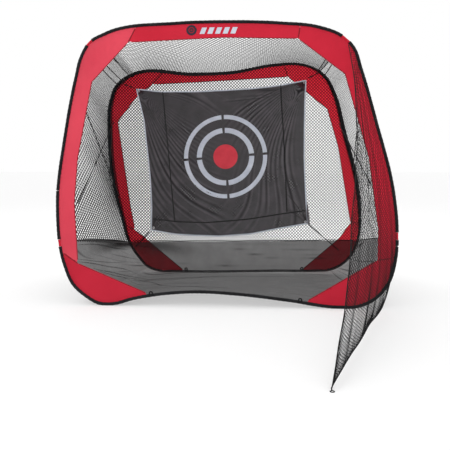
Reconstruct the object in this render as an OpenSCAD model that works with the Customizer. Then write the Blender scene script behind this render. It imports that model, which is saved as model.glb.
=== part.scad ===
// Pop-up golf practice net: two leaning spring-wire hoops joined by a net tunnel,
// with a hanging target sheet, a cloth ball tray and a triangular side barrier.
// Millimetres, +Z up, +Y away from the player, origin on the ground at the middle
// of the bounding box. The net stands on z = 0.

/* [Frame] */
// Depth between the two hoops where they stand on the ground
hoop_depth = 1090; // [950:10:1200]
// Backward lean of the front hoop, y per unit of z
front_lean = 0.14; // [0:0.01:0.18]
// Backward lean of the rear hoop, y per unit of z
rear_lean = 0.10; // [0:0.01:0.14]
// Diameter of the spring wire
wire_d = 5; // [4:0.5:6]
// Outer diameter of the hoop sleeve
sleeve_d = 18; // [16:1:20]

/* [Fabric] */
// Thickness of nets and cloth panels
cloth_t = 1.6; // [1.2:0.1:2]
// Gap between the rear band, the back net and the tray's back wall
layer_gap = 6; // [4:0.5:8]
// Diameter of the thin cords
cord_d = 6; // [3:0.5:8]
// Diameter of the bound edges (hems)
hem_d = 7; // [5:0.5:9]

/* [Target] */
// Distance of the target sheet in front of the rear hoop's plane
target_gap = 70; // [50:5:90]
// Outer radius of the outer ring
ring_outer_r = 341; // [300:1:360]
// Outer radius of the inner ring
ring_inner_r = 235; // [200:1:260]
// Radius of the red centre
bull_r = 100; // [80:1:120]
// Width of the edge binding
binding_w = 12; // [8:1:16]

/* [Stake loops] */
// Radius of the hole in each stake loop
eye_r = 5; // [4:0.5:6]
// Width of a stake loop
loop_w = 28; // [24:1:32]
// Height of a stake loop
loop_h = 36; // [34:1:44]
// Thickness of the loop webbing
loop_t = 3; // [2:0.5:3]

/* [Hidden] */

// Where the front hoop stands, so that the origin is at the middle of the bounding box.
front_y = 23;
rear_y = front_y + hoop_depth;

// Bent outlines of the hoops' wires, clockwise from the top middle, seen from the
// player's side: [x, z]. Point n of the rear hoop faces point n of the front hoop.
FRONT = [
  [0, 1828], [350, 1815], [600, 1785], [740, 1730], [820, 1650], [865, 1520],
  [960, 1185], [1070, 740], [1093, 510], [1085, 320], [1040, 165], [955, 65],
  [840, 15], [740, 10], [400, 50], [100, 82], [-200, 94], [-590, 46],
  [-720, 12], [-810, 14], [-900, 60], [-985, 135], [-1045, 265], [-1096, 640],
  [-1050, 1105], [-985, 1475], [-955, 1600], [-895, 1705], [-790, 1762], [-330, 1822]
];
REAR = [
  [0, 1660], [330, 1715], [560, 1718], [690, 1675], [775, 1605], [835, 1495],
  [925, 1175], [1034, 735], [1056, 520], [1048, 330], [996, 175], [905, 80],
  [800, 35], [700, 28], [370, 24], [90, 17], [-190, 11], [-480, 12],
  [-600, 14], [-700, 48], [-785, 135], [-865, 260], [-922, 449], [-981, 670],
  [-1038, 1120], [-1023, 1439], [-985, 1541], [-911, 1614], [-816, 1659], [-330, 1650]
];
// Inner edges of the red bands, clockwise from the seam at the top left.
FRONT_OPENING = [
  [-640, 1703], [-12, 1728], [465, 1715], [765, 1485], [917, 950], [977, 500],
  [974, 308], [530, 46], [-500, 82], [-956, 269], [-985, 660], [-967, 950], [-880, 1445]
];
REAR_OPENING = [
  [-673, 1566], [-287, 1582], [456, 1620], [782, 1353], [874, 1043], [979, 423],
  [889, 296], [592, 40], [-404, 22], [-813, 354], [-853, 546], [-964, 1257], [-808, 1457]
];
// Outline of the target sheet, clockwise from its top left corner.
TARGET = [
  [-796, 1516], [-572, 1493], [-311, 1492], [-81, 1500], [149, 1512], [388, 1537],
  [605, 1578], [597, 1404], [595, 1178], [596, 951], [602, 781], [612, 611],
  [628, 412], [385, 369], [156, 322], [-97, 302], [-306, 308], [-480, 318],
  [-668, 350], [-666, 548], [-673, 721], [-689, 883], [-708, 1044], [-733, 1262]
];
target_centre = [-51, 963];
target_turn = 4.5;
ring_w_outer = 34;
ring_w_inner = 41;
ring_gap = 20;

// Free edge and ground edge of the side barrier, from the hoop to the tip,
// with y measured from where the front hoop stands.
WING_FREE = [
  [778, 225, 1692], [790, 40, 1475], [770, -244, 1150], [735, -460, 905],
  [680, -700, 650], [630, -940, 390], [570, -1134, 183], [517, -1285, 12]
];
WING_GROUND = [
  [1045, 0, 120], [1010, -75, 30], [950, -215, 9], [850, -430, 6],
  [755, -687, 6], [667, -899, 6], [582, -1119, 6], [517, -1285, 6]
];

station_step = 62;
tiny = 0.001;
wire_r = wire_d / 2;
sleeve_r = sleeve_d / 2;
panel_inset = sleeve_r + 1.5;
net_inset = sleeve_r + 4;
net_behind_front = 5;
net_before_rear = 3 * layer_gap;

// --- Curves ---------------------------------------------------------------

function wrap(list, i) = list[(i % len(list) + len(list)) % len(list)];

// Velocity of a smooth closed curve at point i, weighted by the chord lengths.
function velocity(list, i) =
  let (a = wrap(list, i - 1), b = wrap(list, i), c = wrap(list, i + 1))
  let (d1 = norm(b - a), d2 = norm(c - b))
  ((b - a) * d2 / d1 + (c - b) * d1 / d2) / (d1 + d2);

function hermite(a, b, va, vb, t) =
  let (d = norm(b - a), t2 = t * t, t3 = t * t * t)
  a * (2 * t3 - 3 * t2 + 1) + b * (3 * t2 - 2 * t3)
  + va * d * (t3 - 2 * t2 + t) + vb * d * (t3 - t2);

// Point of the closed curve at parameter u, where u = n is control point n.
function along(list, u) =
  let (i = floor(u))
  hermite(wrap(list, i), wrap(list, i + 1), velocity(list, i), velocity(list, i + 1), u - i);

function unit(v) = v / norm(v);

function direction(list, u) = unit(along(list, u + tiny) - along(list, u - tiny));

// Point of a hoop's outline moved towards the inside of the hoop.
function inside(list, u, inset) =
  let (d = direction(list, u))
  along(list, u) + inset * [d[1], -d[0]];

// Parameters between u0 and u1, about one per station_step of length.
function stations(list, u0, u1) = concat(
  [u0],
  [
    for (i = [floor(u0) : ceil(u1) - 1])
      let (n = max(1, ceil(norm(wrap(list, i + 1) - wrap(list, i)) / station_step)))
      for (k = [0 : n - 1])
        if (i + k / n > u0 + 0.02 && i + k / n < u1 - 0.02) i + k / n
  ],
  [u1]
);

// Point of a smooth open curve through list, t from 0 to 1.
function open_point(list, t) =
  let (n = len(list) - 1, i = min(floor(t * n), n - 1), f = t * n - i)
  let (p0 = list[max(i - 1, 0)], p1 = list[i], p2 = list[i + 1], p3 = list[min(i + 2, n)])
  0.5 * (2 * p1 + (p2 - p0) * f + (2 * p0 - 5 * p1 + 4 * p2 - p3) * f * f
  + (3 * p1 - p0 - 3 * p2 + p3) * f * f * f);

// --- Planes of the hoops ----------------------------------------------------

// A point [x, z] of a hoop's plane in space; back moves it away from the player.
function in_space(p, base_y, lean, back = 0) = [p[0], base_y + lean * p[1] + back, p[1]];

function front_at(u, inset, back = 0) = in_space(inside(FRONT, u, inset), front_y, front_lean, back);
function rear_at(u, inset, back = 0) =
  in_space(inside(REAR, u, inset), rear_y, rear_lean, back);

// Stretches [x, z] points to distances measured along the leaning plane.
function leaned(points, lean) = [for (p = points) [p[0], p[1] * sqrt(1 + lean * lean)]];

// Puts a flat piece, drawn in [x, height], in the plane of a hoop. The piece is
// t thick and its middle lies forward of the plane by the given distance.
module on_plane(base_y, lean, forward, t) {
  translate([0, base_y, 0])
    rotate([90 - atan(lean), 0, 0])
      translate([0, 0, forward - t / 2])
        linear_extrude(t)
          children();
}

module on_front(forward = 0, t = cloth_t) {
  on_plane(front_y, front_lean, forward, t) children();
}

module on_rear(forward = 0, t = cloth_t) {
  on_plane(rear_y, rear_lean, forward, t) children();
}

// --- Solids from rings and grids ---------------------------------------------

// Closed solid through a closed loop of rings, each with the same number of points.
module ring_loop(rings) {
  n = len(rings);
  m = len(rings[0]);
  polyhedron(
    points = [for (r = rings) for (p = r) p],
    faces = [
      for (i = [0 : n - 1])
        for (k = [0 : m - 1])
          let (j = (i + 1) % n, l = (k + 1) % m)
          for (f = [[i * m + k, i * m + l, j * m + l], [i * m + k, j * m + l, j * m + k]]) f
    ],
    convexity = 10
  );
}

// Sheet solid: grid of points, with the second skin moved by the grid of offsets.
module sheet(grid, offsets) {
  n = len(grid);
  m = len(grid[0]);
  nm = n * m;
  border = concat(
    [for (k = [0 : m - 2]) [k, k + 1]],
    [for (i = [0 : n - 2]) [i * m + m - 1, (i + 1) * m + m - 1]],
    [for (k = [m - 1 : -1 : 1]) [(n - 1) * m + k, (n - 1) * m + k - 1]],
    [for (i = [n - 1 : -1 : 1]) [i * m, (i - 1) * m]]
  );
  polyhedron(
    points = concat(
      [for (i = [0 : n - 1]) for (k = [0 : m - 1]) grid[i][k]],
      [for (i = [0 : n - 1]) for (k = [0 : m - 1]) grid[i][k] + offsets[i][k]]
    ),
    faces = concat(
      [
        for (i = [0 : n - 2])
          for (k = [0 : m - 2])
            let (a = i * m + k, b = a + 1, c = a + m + 1, d = a + m)
            for (f = [[a, c, b], [a, d, c], [nm + a, nm + b, nm + c], [nm + a, nm + c, nm + d]]) f
      ],
      [for (e = border) for (f = [[e[0], e[1], nm + e[1]], [e[0], nm + e[1], nm + e[0]]]) f]
    ),
    convexity = 10
  );
}

// Ring of a hoop's sweep at parameter u.
function hoop_ring(list, base_y, lean, u, r, sides) =
  let (d = direction(list, u), c = in_space(along(list, u), base_y, lean))
  let (across = unit([d[1], -lean * d[0], -d[0]]), normal = unit([0, -1, lean]))
  [for (k = [0 : sides - 1]) c + r * (cos(360 * k / sides) * across + sin(360 * k / sides) * normal)];

module hoop_wire(list, base_y, lean) {
  us = stations(list, 0, len(list));
  ring_loop([for (i = [0 : len(us) - 2]) hoop_ring(list, base_y, lean, us[i], wire_r, 6)]);
}

// Hollow sleeve over the wire from u0 to u1: outer rings forward, inner rings back.
module hoop_sleeve(list, base_y, lean, u0, u1, r_out, r_in) {
  us = stations(list, u0, u1);
  last = len(us) - 1;
  ring_loop(concat(
    [for (u = us) hoop_ring(list, base_y, lean, u, r_out, 8)],
    [for (i = [last : -1 : 0]) hoop_ring(list, base_y, lean, us[i], r_in, 8)]
  ));
}

module front_sleeve(u0, u1, r_out = sleeve_r) {
  hoop_sleeve(FRONT, front_y, front_lean, u0, u1, r_out, sleeve_r - 4);
}

module rear_sleeve(u0, u1) {
  hoop_sleeve(REAR, rear_y, rear_lean, u0, u1, sleeve_r, sleeve_r - 4);
}

// Flat panel between a hoop's inside, from u0 to u1, and points of its band's inner edge.
module band_panel(list, lean, u0, u1, inner) {
  outer = [for (u = stations(list, u0, u1)) inside(list, u, panel_inset)];
  polygon(leaned(concat(outer, inner), lean));
}

// Net or cloth from the front hoop to the rear hoop, between two pairs of parameters.
module tunnel_panel(f0, f1, r0, r1, rows, cols, t = cloth_t) {
  grid = [
    for (i = [0 : rows])
      let (s = i / rows)
      let (a = front_at(f0 + s * (f1 - f0), net_inset, net_behind_front))
      let (b = rear_at(r0 + s * (r1 - r0), net_inset, -net_before_rear))
      [for (k = [0 : cols]) a + (b - a) * k / cols]
  ];
  offsets = [
    for (i = [0 : rows])
      let (s = i / rows)
      let (d = direction(FRONT, f0 + s * (f1 - f0)), e = direction(REAR, r0 + s * (r1 - r0)))
      [for (k = [0 : cols]) let (m = unit(d + (e - d) * k / cols)) t * [m[1], 0, -m[0]]]
  ];
  sheet(grid, offsets);
}

module rod(a, b, d = cord_d) {
  v = b - a;
  translate(a)
    rotate([0, acos(v[2] / norm(v)), atan2(v[1], v[0])])
      cylinder(d = d, h = norm(v), $fn = 24);
}

// Rods end to end through a list of points, joined by balls.
module rods(points, d = cord_d) {
  for (i = [0 : len(points) - 2]) rod(points[i], points[i + 1], d);
  for (i = [1 : 1 : len(points) - 2]) translate(points[i]) sphere(d = d * 1.2, $fn = 24);
}

// --- Front frame ----------------------------------------------------------------

// Ends of the sleeve's four lengths, as parameters of the front hoop.
window_tl = [26.75, 27.15];
window_tr = [3.05, 3.6];
window_right = [8.14, 8.40];
window_left = [22.30, 22.43];
window_gap = 0.02;

module front_hoop_wire() {
  color("silver") hoop_wire(FRONT, front_y, front_lean);
}

module front_hoop_ferrule() {
  color("dimgray") hoop_sleeve(FRONT, front_y, front_lean, 15.4, 15.6, 4.4, 3.2);
}

module front_sleeve_top() {
  color([0.08, 0.08, 0.09]) front_sleeve(window_tl[1], 30 + window_tr[0]);
}

module front_sleeve_right() {
  color([0.08, 0.08, 0.09]) front_sleeve(window_tr[1], window_right[0]);
}

module front_sleeve_bottom() {
  color([0.08, 0.08, 0.09]) front_sleeve(window_right[1], window_left[0]);
}

module front_sleeve_left() {
  color([0.08, 0.08, 0.09]) front_sleeve(window_left[1], window_tl[0]);
}

module front_sleeve_windows() {
  color([0.74, 0.13, 0.22])
    for (w = [window_tl, window_tr, window_right, window_left])
      front_sleeve(w[0] + window_gap * (w[1] - w[0]), w[1] - window_gap * (w[1] - w[0]), sleeve_r - 1);
}

module front_band_top() {
  color([0.76, 0.16, 0.25]) on_front()
    band_panel(FRONT, front_lean, 28.45, 31.5, [for (i = [2 : -1 : 0]) FRONT_OPENING[i]]);
}

module front_band_right() {
  color([0.76, 0.16, 0.25]) on_front()
    band_panel(FRONT, front_lean, 1.51, 9, [for (i = [6 : -1 : 2]) FRONT_OPENING[i] + [0.8, 0]]);
}

module front_band_foot_right() {
  color([0.76, 0.16, 0.25]) on_front()
    band_panel(FRONT, front_lean, 9.01, 13.6, [FRONT_OPENING[7], FRONT_OPENING[6] - [0, 1]]);
}

module front_band_foot_left() {
  color([0.76, 0.16, 0.25]) on_front()
    band_panel(FRONT, front_lean, 16.8, 22.19, [FRONT_OPENING[9] - [0, 1], FRONT_OPENING[8]]);
}

module front_band_left() {
  color([0.76, 0.16, 0.25]) on_front()
    band_panel(FRONT, front_lean, 22.2, 28.44,
      concat([FRONT_OPENING[0] - [0.8, 0]], [for (i = [12 : -1 : 9]) FRONT_OPENING[i]]));
}

module front_badge() {
  color([0.10, 0.10, 0.11]) on_front(cloth_t + 0.4, 1.2)
    translate([-225, 1776 * sqrt(1 + front_lean * front_lean)])
      circle(r = 30, $fn = 48);
}

// --- Tunnel and tray ---------------------------------------------------------------

// Parameters of the hoops at the tunnel's seams: top left, top right, tray hems, floor.
hem_left = [22.39, 20.93];
hem_right = [8.28, 9.3];
seam_tl = [27.5, 27.5];
seam_tr = [3.3, 3.3];
floor_left = [19.6, 18.9];
floor_right = [12.4, 12.0];
seam = 0.012;

module tunnel_net_top() {
  color([0.25, 0.25, 0.26])
    tunnel_panel(seam_tl[0] + seam, 30 + seam_tr[0] - seam, seam_tl[1] + seam, 30 + seam_tr[1] - seam, 24, 4);
}

module tunnel_net_right() {
  color([0.25, 0.25, 0.26])
    tunnel_panel(seam_tr[0] + seam, hem_right[0] - seam, seam_tr[1] + seam, hem_right[1] - seam, 16, 4);
}

module tunnel_net_left() {
  color([0.25, 0.25, 0.26])
    tunnel_panel(hem_left[0] + seam, seam_tl[0] - seam, hem_left[1] + seam, seam_tl[1] - seam, 18, 4);
}

module tray_wall_right() {
  color([0.35, 0.34, 0.34])
    tunnel_panel(hem_right[0] + seam, floor_right[0] - seam, hem_right[1] + seam, floor_right[1] - seam, 12, 4);
}

module tray_wall_left() {
  color([0.35, 0.34, 0.34])
    tunnel_panel(floor_left[0] + seam, hem_left[0] - seam, floor_left[1] + seam, hem_left[1] - seam, 10, 4);
}

module tray_floor() {
  color([0.33, 0.32, 0.32])
    tunnel_panel(floor_right[0] + seam, floor_left[0] - seam, floor_right[1] + seam, floor_left[1] - seam, 18, 4);
}

// Bound hem just inside the top edge of a tray wall.
module side_hem(f, r) {
  inset = net_inset + cloth_t + hem_d / 2 + 1;
  rod(front_at(f, inset, net_behind_front + 2), rear_at(r, inset, -net_before_rear - 2), hem_d);
}

module tray_hem_left() {
  color([0.12, 0.12, 0.13]) side_hem(hem_left[0], hem_left[1]);
}

module tray_hem_right() {
  color([0.12, 0.12, 0.13]) side_hem(hem_right[0], hem_right[1]);
}

// --- Cords between the hoops ------------------------------------------------------

// A place at the back of the front band, and a place just inside the rear hoop's rim.
function at_front(x, z) = in_space([x, z], front_y, front_lean, 6);
function at_rear(x, z) = in_space([x, z], rear_y, rear_lean, -net_before_rear - 4);

module link_cords_left() {
  color("black") {
    rod(at_front(-806, 1522), at_rear(-940, 1545));
    rod(at_front(-780, 1548), at_rear(-905, 1580));
  }
}

module link_cords_right() {
  color("black") {
    rod(at_front(650, 1592), at_rear(685, 1642));
    rod(at_front(690, 1560), at_rear(735, 1600));
  }
}

// Crossing cords; the rising one's tail comes down to a knot on the falling one.
falling_left = [at_front(-915, 1250), at_rear(-950, 650)];
rising_left = [at_front(-963, 655), at_rear(-993, 1250)];
tail_drop = 75;
function between(ends, t) = ends[0] + (ends[1] - ends[0]) * t;

module brace_cords_left() {
  knot = between(falling_left, 0.664);
  color("black") {
    rod(falling_left[0], falling_left[1]);
    rod(rising_left[0], rising_left[1]);
    rods([between(rising_left, 0.955), knot, knot - [0, 0, tail_drop]]);
  }
}

module brace_cords_right() {
  color("black") {
    rod(at_front(845, 1150), at_rear(990, 850));
    translate([-12, 0, 0]) rod(at_front(945, 780), at_rear(885, 1235));
  }
}

// --- Rear frame -------------------------------------------------------------------

module rear_hoop_wire() {
  color("silver") hoop_wire(REAR, rear_y, rear_lean);
}

module rear_hoop_ferrule() {
  color("dimgray") hoop_sleeve(REAR, rear_y, rear_lean, 15.4, 15.6, 4.4, 3.2);
}

// Ends of the rear sleeve's four lengths.
rear_joins = [3.3, 8.27, 22.4, 26.95];
rear_join_gap = 0.01;

module rear_sleeve_top() {
  color([0.08, 0.08, 0.09]) rear_sleeve(rear_joins[3] + rear_join_gap, 30 + rear_joins[0] - rear_join_gap);
}

module rear_sleeve_right() {
  color([0.08, 0.08, 0.09]) rear_sleeve(rear_joins[0] + rear_join_gap, rear_joins[1] - rear_join_gap);
}

module rear_sleeve_bottom() {
  color([0.08, 0.08, 0.09]) rear_sleeve(rear_joins[1] + rear_join_gap, rear_joins[2] - rear_join_gap);
}

module rear_sleeve_left() {
  color([0.08, 0.08, 0.09]) rear_sleeve(rear_joins[2] + rear_join_gap, rear_joins[3] - rear_join_gap);
}

module rear_band_top() {
  color([0.72, 0.15, 0.23]) on_rear()
    band_panel(REAR, rear_lean, 28.5, 31.4, [for (i = [2 : -1 : 0]) REAR_OPENING[i]]);
}

module rear_band_right() {
  color([0.72, 0.15, 0.23]) on_rear()
    band_panel(REAR, rear_lean, 1.41, 8.5, [for (i = [5 : -1 : 2]) REAR_OPENING[i] + [0.8, 0]]);
}

module rear_band_foot_right() {
  color([0.72, 0.15, 0.23]) on_rear()
    band_panel(REAR, rear_lean, 8.51, 13.3,
      [REAR_OPENING[7], REAR_OPENING[6], REAR_OPENING[5] - [0, 1]]);
}

module rear_band_foot_left() {
  color([0.72, 0.15, 0.23]) on_rear()
    band_panel(REAR, rear_lean, 16.9, 21.69, [REAR_OPENING[9] - [0, 1], REAR_OPENING[8]]);
}

module rear_band_left() {
  color([0.72, 0.15, 0.23]) on_rear()
    band_panel(REAR, rear_lean, 21.7, 28.49,
      concat([REAR_OPENING[0] - [0.8, 0]], [for (i = [12 : -1 : 9]) REAR_OPENING[i]]));
}

module back_net() {
  color([0.20, 0.20, 0.21]) on_rear(layer_gap)
    polygon(leaned([
      for (u = stations(REAR, 0, len(REAR) - tiny)) inside(REAR, u, panel_inset)
    ], rear_lean));
}

// Back wall of the tray: the part of the rear hoop below its hem.
module tray_wall_back() {
  color([0.33, 0.32, 0.32]) on_rear(2 * layer_gap)
    polygon(leaned([
      for (u = stations(REAR, 9.33, 20.9)) inside(REAR, u, panel_inset)
    ], rear_lean));
}

module tray_hem_back() {
  a = inside(REAR, 20.9, panel_inset + 22);
  b = inside(REAR, 9.33, panel_inset + 22);
  forward = 2 * layer_gap + hem_d / 2 + cloth_t;
  color([0.12, 0.12, 0.13])
    rod(in_space(a, rear_y, rear_lean, -forward),
      in_space(b, rear_y, rear_lean, -forward), hem_d);
}

// --- Target -------------------------------------------------------------------------

// Moves a closed outline (clockwise) inwards by d at each of its points.
function shrunk(list, d) = [
  for (i = [0 : len(list) - 1])
    let (t = unit(unit(wrap(list, i + 1) - wrap(list, i)) + unit(wrap(list, i) - wrap(list, i - 1))))
    let (e = unit(wrap(list, i + 1) - wrap(list, i)))
    list[i] + d / max(0.5, t * e) * [t[1], -t[0]]
];

module on_target(forward = 0, t = cloth_t) {
  on_rear(target_gap + forward, t) children();
}

module target_sheet() {
  color([0.24, 0.22, 0.24]) on_target()
    polygon(leaned(shrunk(TARGET, binding_w), rear_lean));
}

module target_binding() {
  color([0.85, 0.87, 0.92]) on_target()
    difference() {
      polygon(leaned(TARGET, rear_lean));
      polygon(leaned(shrunk(TARGET, binding_w - 0.2), rear_lean));
    }
}

// Quarter-ring patches with a gap at each quarter.
module quarter_ring(r, w) {
  difference() {
    circle(r = r, $fn = 96);
    circle(r = r - w, $fn = 96);
    square([3 * r, ring_gap], center = true);
    square([ring_gap, 3 * r], center = true);
  }
}

module at_target_centre() {
  translate([target_centre[0], target_centre[1] * sqrt(1 + rear_lean * rear_lean)])
    rotate(target_turn)
      children();
}

module target_rings() {
  color([0.80, 0.82, 0.86]) on_target(cloth_t + 0.1, 0.8)
    at_target_centre() {
      quarter_ring(ring_outer_r, ring_w_outer);
      quarter_ring(ring_inner_r, ring_w_inner);
    }
}

module target_bull() {
  color([0.74, 0.23, 0.28]) on_target(cloth_t + 0.1, 0.8)
    at_target_centre() circle(r = bull_r, $fn = 64);
}

// Round eyelets just inside the target's four corners.
EYELETS = [[-770, 1494], [585, 1555], [604, 430], [-643, 374]];
eyelet_r = 9;

module target_eyelets() {
  color("silver") on_target(cloth_t + 0.4, 1.4)
    for (p = leaned(EYELETS, rear_lean))
      translate(p)
        difference() {
          circle(r = eyelet_r, $fn = 32);
          circle(r = eyelet_r / 2, $fn = 32);
        }
}

// Corner ties from the target's corners to the rear hoop.
TIE_ENDS = [[-925, 1570], [700, 1640], [880, 200], [-800, 215]];
TIE_STARTS = [[-806, 1520], [614, 1590], [637, 404], [-678, 341]];

module target_ties() {
  color("black")
    for (i = [0 : 3])
      rod(in_space(TIE_STARTS[i], rear_y, rear_lean, -target_gap),
        in_space(TIE_ENDS[i], rear_y, rear_lean, -net_before_rear - 12));
}

// --- Side barrier --------------------------------------------------------------------

wing_rows = 16;
wing_cols = 10;
wing_front = 16;
wing_u = [3.62, 10.2];
wing_top = 0.03;
wing_bottom = 0.985;
wing_cord_d = 5;
tip = WING_FREE[len(WING_FREE) - 1];

// Point of the barrier: s from the top corner to the ground, t from hoop to free edge.
function wing_point(s, t) =
  let (a = front_at(wing_u[0] + s * (wing_u[1] - wing_u[0]), 4, -wing_front))
  let (b = open_point(WING_FREE, s) + [0, front_y, 0])
  let (g = open_point(WING_GROUND, t))
  let (g0 = WING_GROUND[0] + (WING_GROUND[len(WING_GROUND) - 1] - WING_GROUND[0]) * t)
  a + (b - a) * t + (g - g0) * s * s;

module wing_net() {
  grid = [
    for (i = [0 : wing_rows])
      [
        for (k = [0 : wing_cols])
          wing_point(wing_top + (wing_bottom - wing_top) * i / wing_rows, k / wing_cols)
      ]
  ];
  side = cloth_t * unit([1, -0.25, 0]);
  color([0.30, 0.29, 0.30])
    sheet(grid, [for (i = [0 : wing_rows]) [for (k = [0 : wing_cols]) side]]);
}

// Cord in the barrier's free edge and, from the tip back to the hoop, its ground edge.
module wing_edge_cord() {
  away = [-3.5, -4, 0];
  free = [for (i = [0 : 11]) wing_point(wing_top + (1 - wing_top) * i / 12, 1) + away];
  ground = [for (i = [10 : -1 : 1]) wing_point(1, i / 10) + [-5, 0, i == 10 ? -5.3 : 0]];
  color("black") rods(concat(free, ground), wing_cord_d);
}

module wing_tip_loop() {
  color([0.08, 0.08, 0.09])
    translate([tip[0], tip[1] + front_y - 9, 0.3])
      linear_extrude(loop_t)
        difference() {
          circle(r = eye_r + 6, $fn = 48);
          circle(r = eye_r, $fn = 48);
        }
}

// --- Stake loops -----------------------------------------------------------------------

// Webbing loop standing on a bottom sleeve; side is -1 in front of the hoop, 1 behind it.
module stake_loop(c, side) {
  gap = sleeve_r + 1.5;
  color([0.07, 0.07, 0.08])
    translate([c[0], c[1] + side * (gap + loop_t / 2), c[2] - loop_foot])
      rotate([90, 0, 0])
        difference() {
          translate([0, 0, -loop_t / 2]) linear_extrude(loop_t) {
            translate([-loop_w / 2, 0]) square([loop_w, loop_h - loop_w / 2]);
            translate([0, loop_h - loop_w / 2]) circle(r = loop_w / 2, $fn = 48);
          }
          translate([0, loop_h - loop_w / 2, 0]) cylinder(r = eye_r, h = 3 * loop_t, center = true, $fn = 48);
        }
}

// How far a loop's lower end lies below the middle of the sleeve, and the
// parameters of the hoops where the loops are sewn on.
loop_foot = 5;
loop_u = [16.69, 13.75, 16.66, 13.35];

module stake_loop_front_left() {
  stake_loop(front_at(loop_u[0], 0), -1);
}

module stake_loop_front_right() {
  stake_loop(front_at(loop_u[1], 0), -1);
}

module stake_loop_rear_left() {
  stake_loop(rear_at(loop_u[2], 0), 1);
}

module stake_loop_rear_right() {
  stake_loop(rear_at(loop_u[3], 0), 1);
}

front_hoop_wire();
front_hoop_ferrule();
front_sleeve_top();
front_sleeve_right();
front_sleeve_bottom();
front_sleeve_left();
front_sleeve_windows();
front_band_top();
front_band_left();
front_band_right();
front_band_foot_left();
front_band_foot_right();
front_badge();
tunnel_net_left();
tunnel_net_top();
tunnel_net_right();
tray_floor();
tray_wall_left();
tray_wall_right();
tray_hem_left();
tray_hem_right();
link_cords_left();
link_cords_right();
brace_cords_left();
brace_cords_right();
rear_hoop_wire();
rear_hoop_ferrule();
rear_sleeve_top();
rear_sleeve_right();
rear_sleeve_bottom();
rear_sleeve_left();
rear_band_top();
rear_band_left();
rear_band_right();
rear_band_foot_left();
rear_band_foot_right();
back_net();
tray_wall_back();
tray_hem_back();
target_sheet();
target_binding();
target_rings();
target_bull();
target_eyelets();
target_ties();
wing_net();
wing_edge_cord();
wing_tip_loop();
stake_loop_front_left();
stake_loop_front_right();
stake_loop_rear_left();
stake_loop_rear_right();
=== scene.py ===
"""Looks of the pop-up golf practice net: spring hoops in gathered sleeves, satin bands,
nets of crossing strands, sheer ball tray, hanging target sheet and side barrier. Metres."""

import math

import bpy
import numpy as np
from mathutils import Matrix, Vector, geometry


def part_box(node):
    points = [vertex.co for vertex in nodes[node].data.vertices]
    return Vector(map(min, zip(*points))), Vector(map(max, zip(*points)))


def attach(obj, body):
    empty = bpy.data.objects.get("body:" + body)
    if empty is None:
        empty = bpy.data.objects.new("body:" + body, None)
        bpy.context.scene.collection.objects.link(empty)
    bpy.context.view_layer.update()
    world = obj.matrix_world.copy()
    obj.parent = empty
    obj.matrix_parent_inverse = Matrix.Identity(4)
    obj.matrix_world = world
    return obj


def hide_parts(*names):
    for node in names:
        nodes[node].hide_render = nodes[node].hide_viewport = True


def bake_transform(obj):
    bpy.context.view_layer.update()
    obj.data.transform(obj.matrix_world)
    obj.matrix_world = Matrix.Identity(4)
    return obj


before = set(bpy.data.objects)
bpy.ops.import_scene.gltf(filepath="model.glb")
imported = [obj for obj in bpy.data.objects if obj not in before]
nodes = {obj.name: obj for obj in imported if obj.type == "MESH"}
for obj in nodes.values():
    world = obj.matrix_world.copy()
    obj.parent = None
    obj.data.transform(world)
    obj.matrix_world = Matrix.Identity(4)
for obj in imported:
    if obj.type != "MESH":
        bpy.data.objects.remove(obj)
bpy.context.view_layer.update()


def placed(name, data):
    """New object of the scene."""
    obj = bpy.data.objects.new(name, data)
    bpy.context.scene.collection.objects.link(obj)
    return obj


# ---------------------------------------------------------------- camera

camera_data = bpy.data.cameras.new("camera")
camera_data.lens = 44.8
camera_data.sensor_width = 36.0
camera = placed("camera", camera_data)
bpy.context.scene.camera = camera
camera.location = (0.203, -3.477, 0.937)
camera.rotation_euler = (math.radians(90 - 6.62), 0, math.radians(3.2))

# ---------------------------------------------------------------- the hoops' curves

FRONT_Y = 0.023
REAR_Y = FRONT_Y + 1.090
FRONT_LEAN = 0.14
REAR_LEAN = 0.10
SLEEVE_R = 0.009
REAR_LAYERS = 0.018
TARGET_GAP = 0.070
# Half the thickness of the CAD's cloths: from a node's rear face to the middle of the cloth.
CLOTH_HALF = 0.0008
# How far stitching and badge rings, and the target's prints, stand in front of their cloth.
TRIM_PROUD = 0.0016
PRINT_PROUD = 0.0012

# Bent outlines of the hoops, clockwise from the top middle: (x, z), as in the CAD source.
FRONT = np.array([
    (0, 1828), (350, 1815), (600, 1785), (740, 1730), (820, 1650), (865, 1520),
    (960, 1185), (1070, 740), (1093, 510), (1085, 320), (1040, 165), (955, 65),
    (840, 15), (740, 10), (400, 50), (100, 82), (-200, 94), (-590, 46),
    (-720, 12), (-810, 14), (-900, 60), (-985, 135), (-1045, 265), (-1096, 640),
    (-1050, 1105), (-985, 1475), (-955, 1600), (-895, 1705), (-790, 1762), (-330, 1822),
]) / 1000
REAR = np.array([
    (0, 1660), (330, 1715), (560, 1718), (690, 1675), (775, 1605), (835, 1495),
    (925, 1175), (1034, 735), (1056, 520), (1048, 330), (996, 175), (905, 80),
    (800, 35), (700, 28), (370, 24), (90, 17), (-190, 11), (-480, 12),
    (-600, 14), (-700, 48), (-785, 135), (-865, 260), (-922, 449), (-981, 670),
    (-1038, 1120), (-1023, 1439), (-985, 1541), (-911, 1614), (-816, 1659), (-330, 1650),
]) / 1000


def unit(v):
    v = np.asarray(v, float)
    return v / np.maximum(np.linalg.norm(v, axis=-1, keepdims=True), 1e-12)


def velocities(points):
    """Velocity of a smooth closed curve at each of its points, weighted by the chords."""
    before, after = np.roll(points, 1, 0), np.roll(points, -1, 0)
    d1 = np.linalg.norm(points - before, axis=1)[:, None]
    d2 = np.linalg.norm(after - points, axis=1)[:, None]
    return ((points - before) * d2 / d1 + (after - points) * d1 / d2) / (d1 + d2)


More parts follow.
